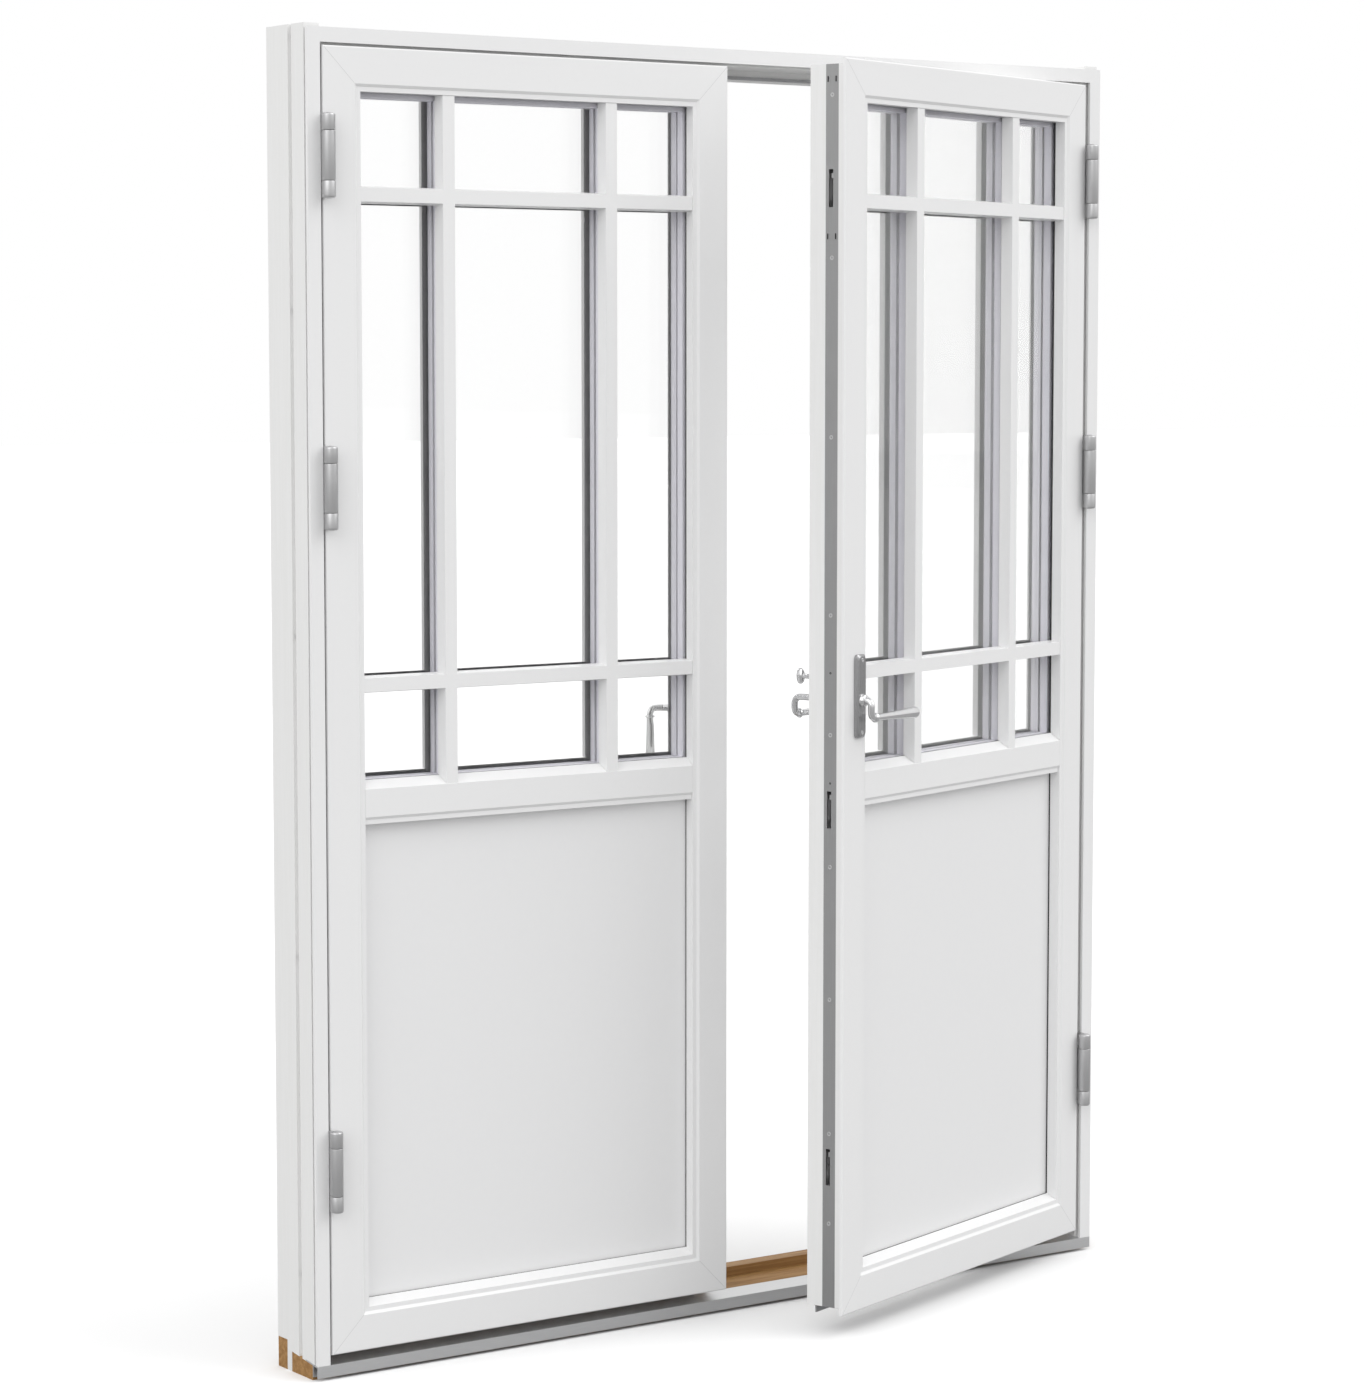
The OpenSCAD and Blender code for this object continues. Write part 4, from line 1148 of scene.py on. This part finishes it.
@dataclass
class Ironmongery:
    """Screws of the faceplate and of the frame fixings.

    Attributes:
        leaves: The passive and the active leaf.
        face_in: Distance from the meeting edge to the faceplate.
        face_depth: Depth of its middle.
        screw_heights: Heights of its screws.
        mark_heights: Heights of its smaller round marks.
        slot_heights: Heights of its pairs of small slots, whose hollows are drawn as black boxes of
            painted shade.
        rebate_x: Distance from the middle to the jambs' rebates.
        fixing_depth: Depth of the frame fixings.
    """

    leaves: tuple[Leaf, Leaf]
    face_in: float = 8.5
    face_depth: float = 31.6
    screw_heights: tuple[float, ...] = (2004, 1747, 1462, 1177, 984, 770, 554, 334, 186)
    mark_heights: tuple[float, ...] = (1084, 906, 283)
    slot_heights: tuple[float, ...] = (2029, 1781)
    rebate_x: float = 763.3
    fixing_depth: float = 53.7

    def build(self, shop: Workshop) -> None:
        """Puts the faceplate's screws and marks, black boxes of painted shade for its slots, and the
        frame's screws, in place.

        Args:
            shop: The workshop.
        """
        active = self.leaves[1]
        outwards = tuple(Euler((0.0, -QUARTER, active.angle)))
        for name, radius, heights, finish in (
                ("faceplate_screws", 3.6, self.screw_heights, "plated_steel"),
                ("faceplate_marks", 1.8, self.mark_heights, "black_rubber")):
            spots = [active.at(self.face_in, self.face_depth, height) for height in heights]
            made = shop.repeated(name, screw_head(radius, 0.35).mesh(name), spots, finish, outwards)
            shop.place(name, made, finish, active.body, "zinc_steel")
        # Painted shade: each slot's hollow is a small black box standing on the faceplate, not a cut
        # opening.
        slot = eased_box((-1.1, -0.3, -4.5), (0.15, 1.2, 4.5), 0.1)
        spots = [active.at(self.face_in, self.face_depth + side * 7.5, height)
                 for height in self.slot_heights for side in (-1, 1)]
        made = shop.repeated("faceplate_slots", slot.mesh("faceplate_slots"), spots, "black_rubber",
                             (0.0, 0.0, active.angle))
        shop.place("faceplate_slots", made, "black_rubber", active.body, "zinc_steel")
        screws = []
        for side in (-1, 1):
            spots = [Vector((side * (self.rebate_x + 2), self.fixing_depth, height)) * MM
                     for height in frame_fixings()]
            screws.append(shop.repeated("frame_screw", screw_head(4.9, 0.8).mesh("frame_screw"),
                                        spots, "plated_steel", (0.0, -side * QUARTER, 0.0)))
        shop.place("frame_screws", joined("frame_screws", screws), "plated_steel", "frame",
                   "bright_steel")


def frame_fixings(lowest: float = 160.0, pitch: float = 500.0, count: int = 4) -> list[float]:
    """Gives the heights of the frame fixings of one jamb."""
    return [lowest + pitch * index for index in range(count)]


@dataclass
class MitreLines:
    """Hairlines where the mitred corners of the leaves' cladding meet.

    Attributes:
        leaves: The passive and the active leaf.
        face: Width of a leaf's cladding face.
        width: Width of a hairline.
        proud: How far it stands out of the face.
    """

    leaves: tuple[Leaf, Leaf]
    face: float = 56.0
    width: float = 0.4
    proud: float = 0.06

    def line(self, corner: tuple[float, float], towards: tuple[int, int], length: float) -> Shape:
        """One hairline on the plane y = 0, running in from a corner at 45 degrees.

        Args:
            corner: X and Z of the corner.
            towards: Signs of X and Z inwards.
            length: Width of the face that it crosses.

        Returns:
            A thin closed strip.
        """
        start, step = 2.4, self.width / 2
        ends = []
        for reach in (start, length):
            for side in (-1, 1):
                ends.append((corner[0] + towards[0] * (reach + side * step),
                             corner[1] + towards[1] * (reach - side * step)))
        ring = [ends[0], ends[1], ends[3], ends[2]]
        return loft([[Vector((x, y, z)) for x, z in ring] for y in (-self.proud, self.proud)])

    def build(self, shop: Workshop) -> None:
        """Draws the hairlines of both leaves.

        Args:
            shop: The workshop.
        """
        for leaf in self.leaves:
            shape = Shape()
            for x, right in ((0.0, 1), (leaf.width, -1)):
                for z, up in ((leaf.bottom, 1), (leaf.top, -1)):
                    shape.include(self.line((x, z), (right, up), self.face))
            name = leaf.body + "_mitres"
            shop.place(name, shape.mesh(name, leaf.place()), "joint_shadow", leaf.body,
                       "coated_aluminium")


# ---------------------------------------------------------------- dressing the frame's own nodes


FRAME_FINISHES = {
    "timber_upright": ("jamb_left", "jamb_right", "astragal"),
    "timber_level": ("head",),
    "oiled_oak": ("threshold_rear", "threshold_front"),
    "white_plastic": ("threshold_break",),
    "nose_aluminium": ("threshold_nose",),
    "powder_coat": ("cladding_left", "cladding_right", "cladding_head"),
    "grey_rubber": ("frame_seal", "meeting_seal"),
    "hinge_nickel": ("hinge_frame_arms",),
    "backplate_chrome": ("passive_backplate", "outer_backplate", "inner_backplate"),
    "satin_chrome": ("passive_lever", "outer_lever", "inner_lever", "thumb_turn"),
    "faceplate_steel": ("faceplate",),
    "plated_steel": ("corner_screws", "hinge_pins", "bolt_keeps", "strikes", "passive_gearbox",
                     "upper_bolt", "lower_bolt", "lock_cases", "spindle", "lock_rod", "hook_upper",
                     "hook_middle", "hook_lower"),
}
LEAF_FINISHES = {
    "stiles": "timber_upright", "rails": "timber_level", "cladding": "powder_coat",
    "glass": "float_glass", "spacers": "spacer_foil", "muntins_outer": "powder_coat",
    "muntins_inner": "timber_upright", "beads": "timber_upright", "panel": "panel_coat",
    "gasket": "black_rubber", "hinge_arms": "hinge_nickel", "sweep": "grey_rubber",
}


def dress_nodes(nodes: dict[str, bpy.types.Object], palette: Palette) -> None:
    """Gives every carried node its material.

    Args:
        nodes: The frame's nodes.
        palette: The doors' materials.
    """
    finishes = {node: finish for finish, names in FRAME_FINISHES.items() for node in names}
    for leaf in ("passive", "active"):
        finishes.update({f"{leaf}_{part}": finish for part, finish in LEAF_FINISHES.items()})
    finishes["active_rails"] = "timber_level_turned"
    for name, node in nodes.items():
        material = palette[finishes[name]]
        for place in node.material_slots:
            place.material = material
        if not node.material_slots:
            node.data.materials.append(material)
        LOG.info("dressed %s in %s", name, material.name)


# ---------------------------------------------------------------- stage


def shown_to_eye(graph: Graph, unseen: bpy.types.NodeSocket,
                 seen: bpy.types.NodeSocket) -> bpy.types.NodeSocket:
    """Adds a mix with one shader for straight views, also through glass, and one for all other rays.

    Args:
        graph: The graph to add to.
        unseen: The shader for all other rays.
        seen: The shader for straight views.

    Returns:
        The mixed shader's socket.
    """
    rays = graph.add("ShaderNodeLightPath").outputs
    straight = graph.maths("MAXIMUM", rays["Is Camera Ray"], rays["Is Transmission Ray"])
    return graph.add("ShaderNodeMixShader", {0: straight, 1: unseen, 2: seen}).outputs[0]


@dataclass(frozen=True)
class Studio:
    """The floor, the lights and the camera.

    Attributes:
        camera_at: Where the camera stands, in metres.
        yaw: How far it looks to the right of +Y, in degrees.
        pitch: How far it looks up, in degrees.
        lens: Its focal length for a sensor 36 mm on the long side.
        sky: Strength of the light from all round.
        bounce: Share of the light that the floor sends on to the doors.
    """

    camera_at: Point = (-3.716, -5.177, 1.586)
    yaw: float = 34.964
    pitch: float = -5.019
    lens: float = 99.72
    sky: float = 0.92
    bounce: float = 0.36

    def camera(self) -> None:
        """Makes the camera and hands it to the scene."""
        data = bpy.data.cameras.new("camera")
        data.lens, data.sensor_width = self.lens, SENSOR
        camera = bpy.data.objects.new("camera", data)
        camera.location = self.camera_at
        camera.rotation_euler = (QUARTER + math.radians(self.pitch), 0.0, -math.radians(self.yaw))
        bpy.context.scene.collection.objects.link(camera)
        bpy.context.scene.camera = camera

    def lamp(self, name: str, towards: Point, power: float, spread: float) -> None:
        """Hangs one wide, even lamp.

        Args:
            name: Its name.
            towards: Direction from the doors to the lamp.
            power: Its strength in watts per square metre.
            spread: Its apparent width in degrees.
        """
        data = bpy.data.lights.new(name, "SUN")
        data.energy, data.angle = power, math.radians(spread)
        lamp = bpy.data.objects.new(name, data)
        lamp.rotation_euler = (-Vector(towards)).to_track_quat("-Z", "Y").to_euler()
        bpy.context.scene.collection.objects.link(lamp)

    def floor(self) -> None:
        """Lays a plain pale floor under the threshold."""
        reach = 60.0
        mesh = bpy.data.meshes.new("floor")
        mesh.from_pydata([(-reach, -reach, 0), (reach, -reach, 0), (reach, reach, 0),
                          (-reach, reach, 0)], [], [(0, 1, 2, 3)])
        mesh.materials.append(self.paper())
        linked("floor", mesh)

    def paper(self) -> bpy.types.Material:
        """Makes the floor's paper: pale to the eye, with a weaker bounce on to the doors.

        Returns:
            The material.
        """
        material, graph = new_material("studio_floor")
        dull, pale = (graph.add("ShaderNodeBsdfDiffuse", {"Color": (*(share,) * 3, 1.0)}).outputs[0]
                      for share in (self.bounce, 0.95))
        graph.add("ShaderNodeOutputMaterial", {"Surface": shown_to_eye(graph, dull, pale)})
        return material

    def sky_dome(self) -> None:
        """Lights the doors from all round and shows white behind them."""
        world = bpy.data.worlds.new("studio")
        bpy.context.scene.world = world
        world.use_nodes = True
        graph = Graph(world.node_tree)
        light, shown = (graph.add("ShaderNodeBackground", {"Color": (1.0, 1.0, 1.0, 1.0),
                                                           "Strength": strength}).outputs[0]
                        for strength in (self.sky, 1.0))
        graph.add("ShaderNodeOutputWorld", {"Surface": shown_to_eye(graph, light, shown)})

    def build(self) -> None:
        """Sets the whole stage."""
        bpy.context.scene.view_settings.view_transform = "Standard"
        self.sky_dome()
        self.floor()
        self.lamp("key", (0.6, -0.5, 0.7), 0.9, 50.0)
        self.lamp("fill", (-0.8, -0.3, 0.6), 0.9, 60.0)
        self.camera()


def main() -> None:
    """Builds the looks round the frame."""
    logging.basicConfig(level=logging.INFO, format="%(message)s")
    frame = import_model()
    leaves = leaves_of(frame)
    palette = Palette(Groups.build(), leaves[1].angle)
    Studio().build()
    dress_nodes(frame["nodes"], palette)
    shop = Workshop(palette, copies_tree(), bar_tree())
    joints = {joint["name"]: joint for joint in frame["joints"]}
    spindle = joints["active_lever_turn"]["pos_m"][2] / MM
    thumb = joints["thumb_turn_turn"]["pos_m"][2] / MM
    passive, active = leaves
    low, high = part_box("outer_backplate")
    middle = (low.z + high.z) / 2 / MM
    second = joints["passive_lever_turn"]["pos_m"][2] / MM
    levers = (Lever("outer_lever", active, spindle, True, 17.0, "active_handle", bend=9.0),
              Lever("inner_lever", active, spindle, False, 42.0, "active_handle"),
              Lever("passive_lever", passive, second, False, 42.0, "passive_handle", hanging=True))
    plates = (Backplate("outer_backplate", active, True, middle),
              Backplate("inner_backplate", active, False, middle),
              Backplate("passive_backplate", passive, False, middle + second - spindle))
    for piece in (*levers, *plates, ThumbTurn(active, thumb), Hinges(leaves), Ironmongery(leaves),
                  MitreLines(leaves)):
        piece.build(shop)


if __name__ == "__main__":
    main()
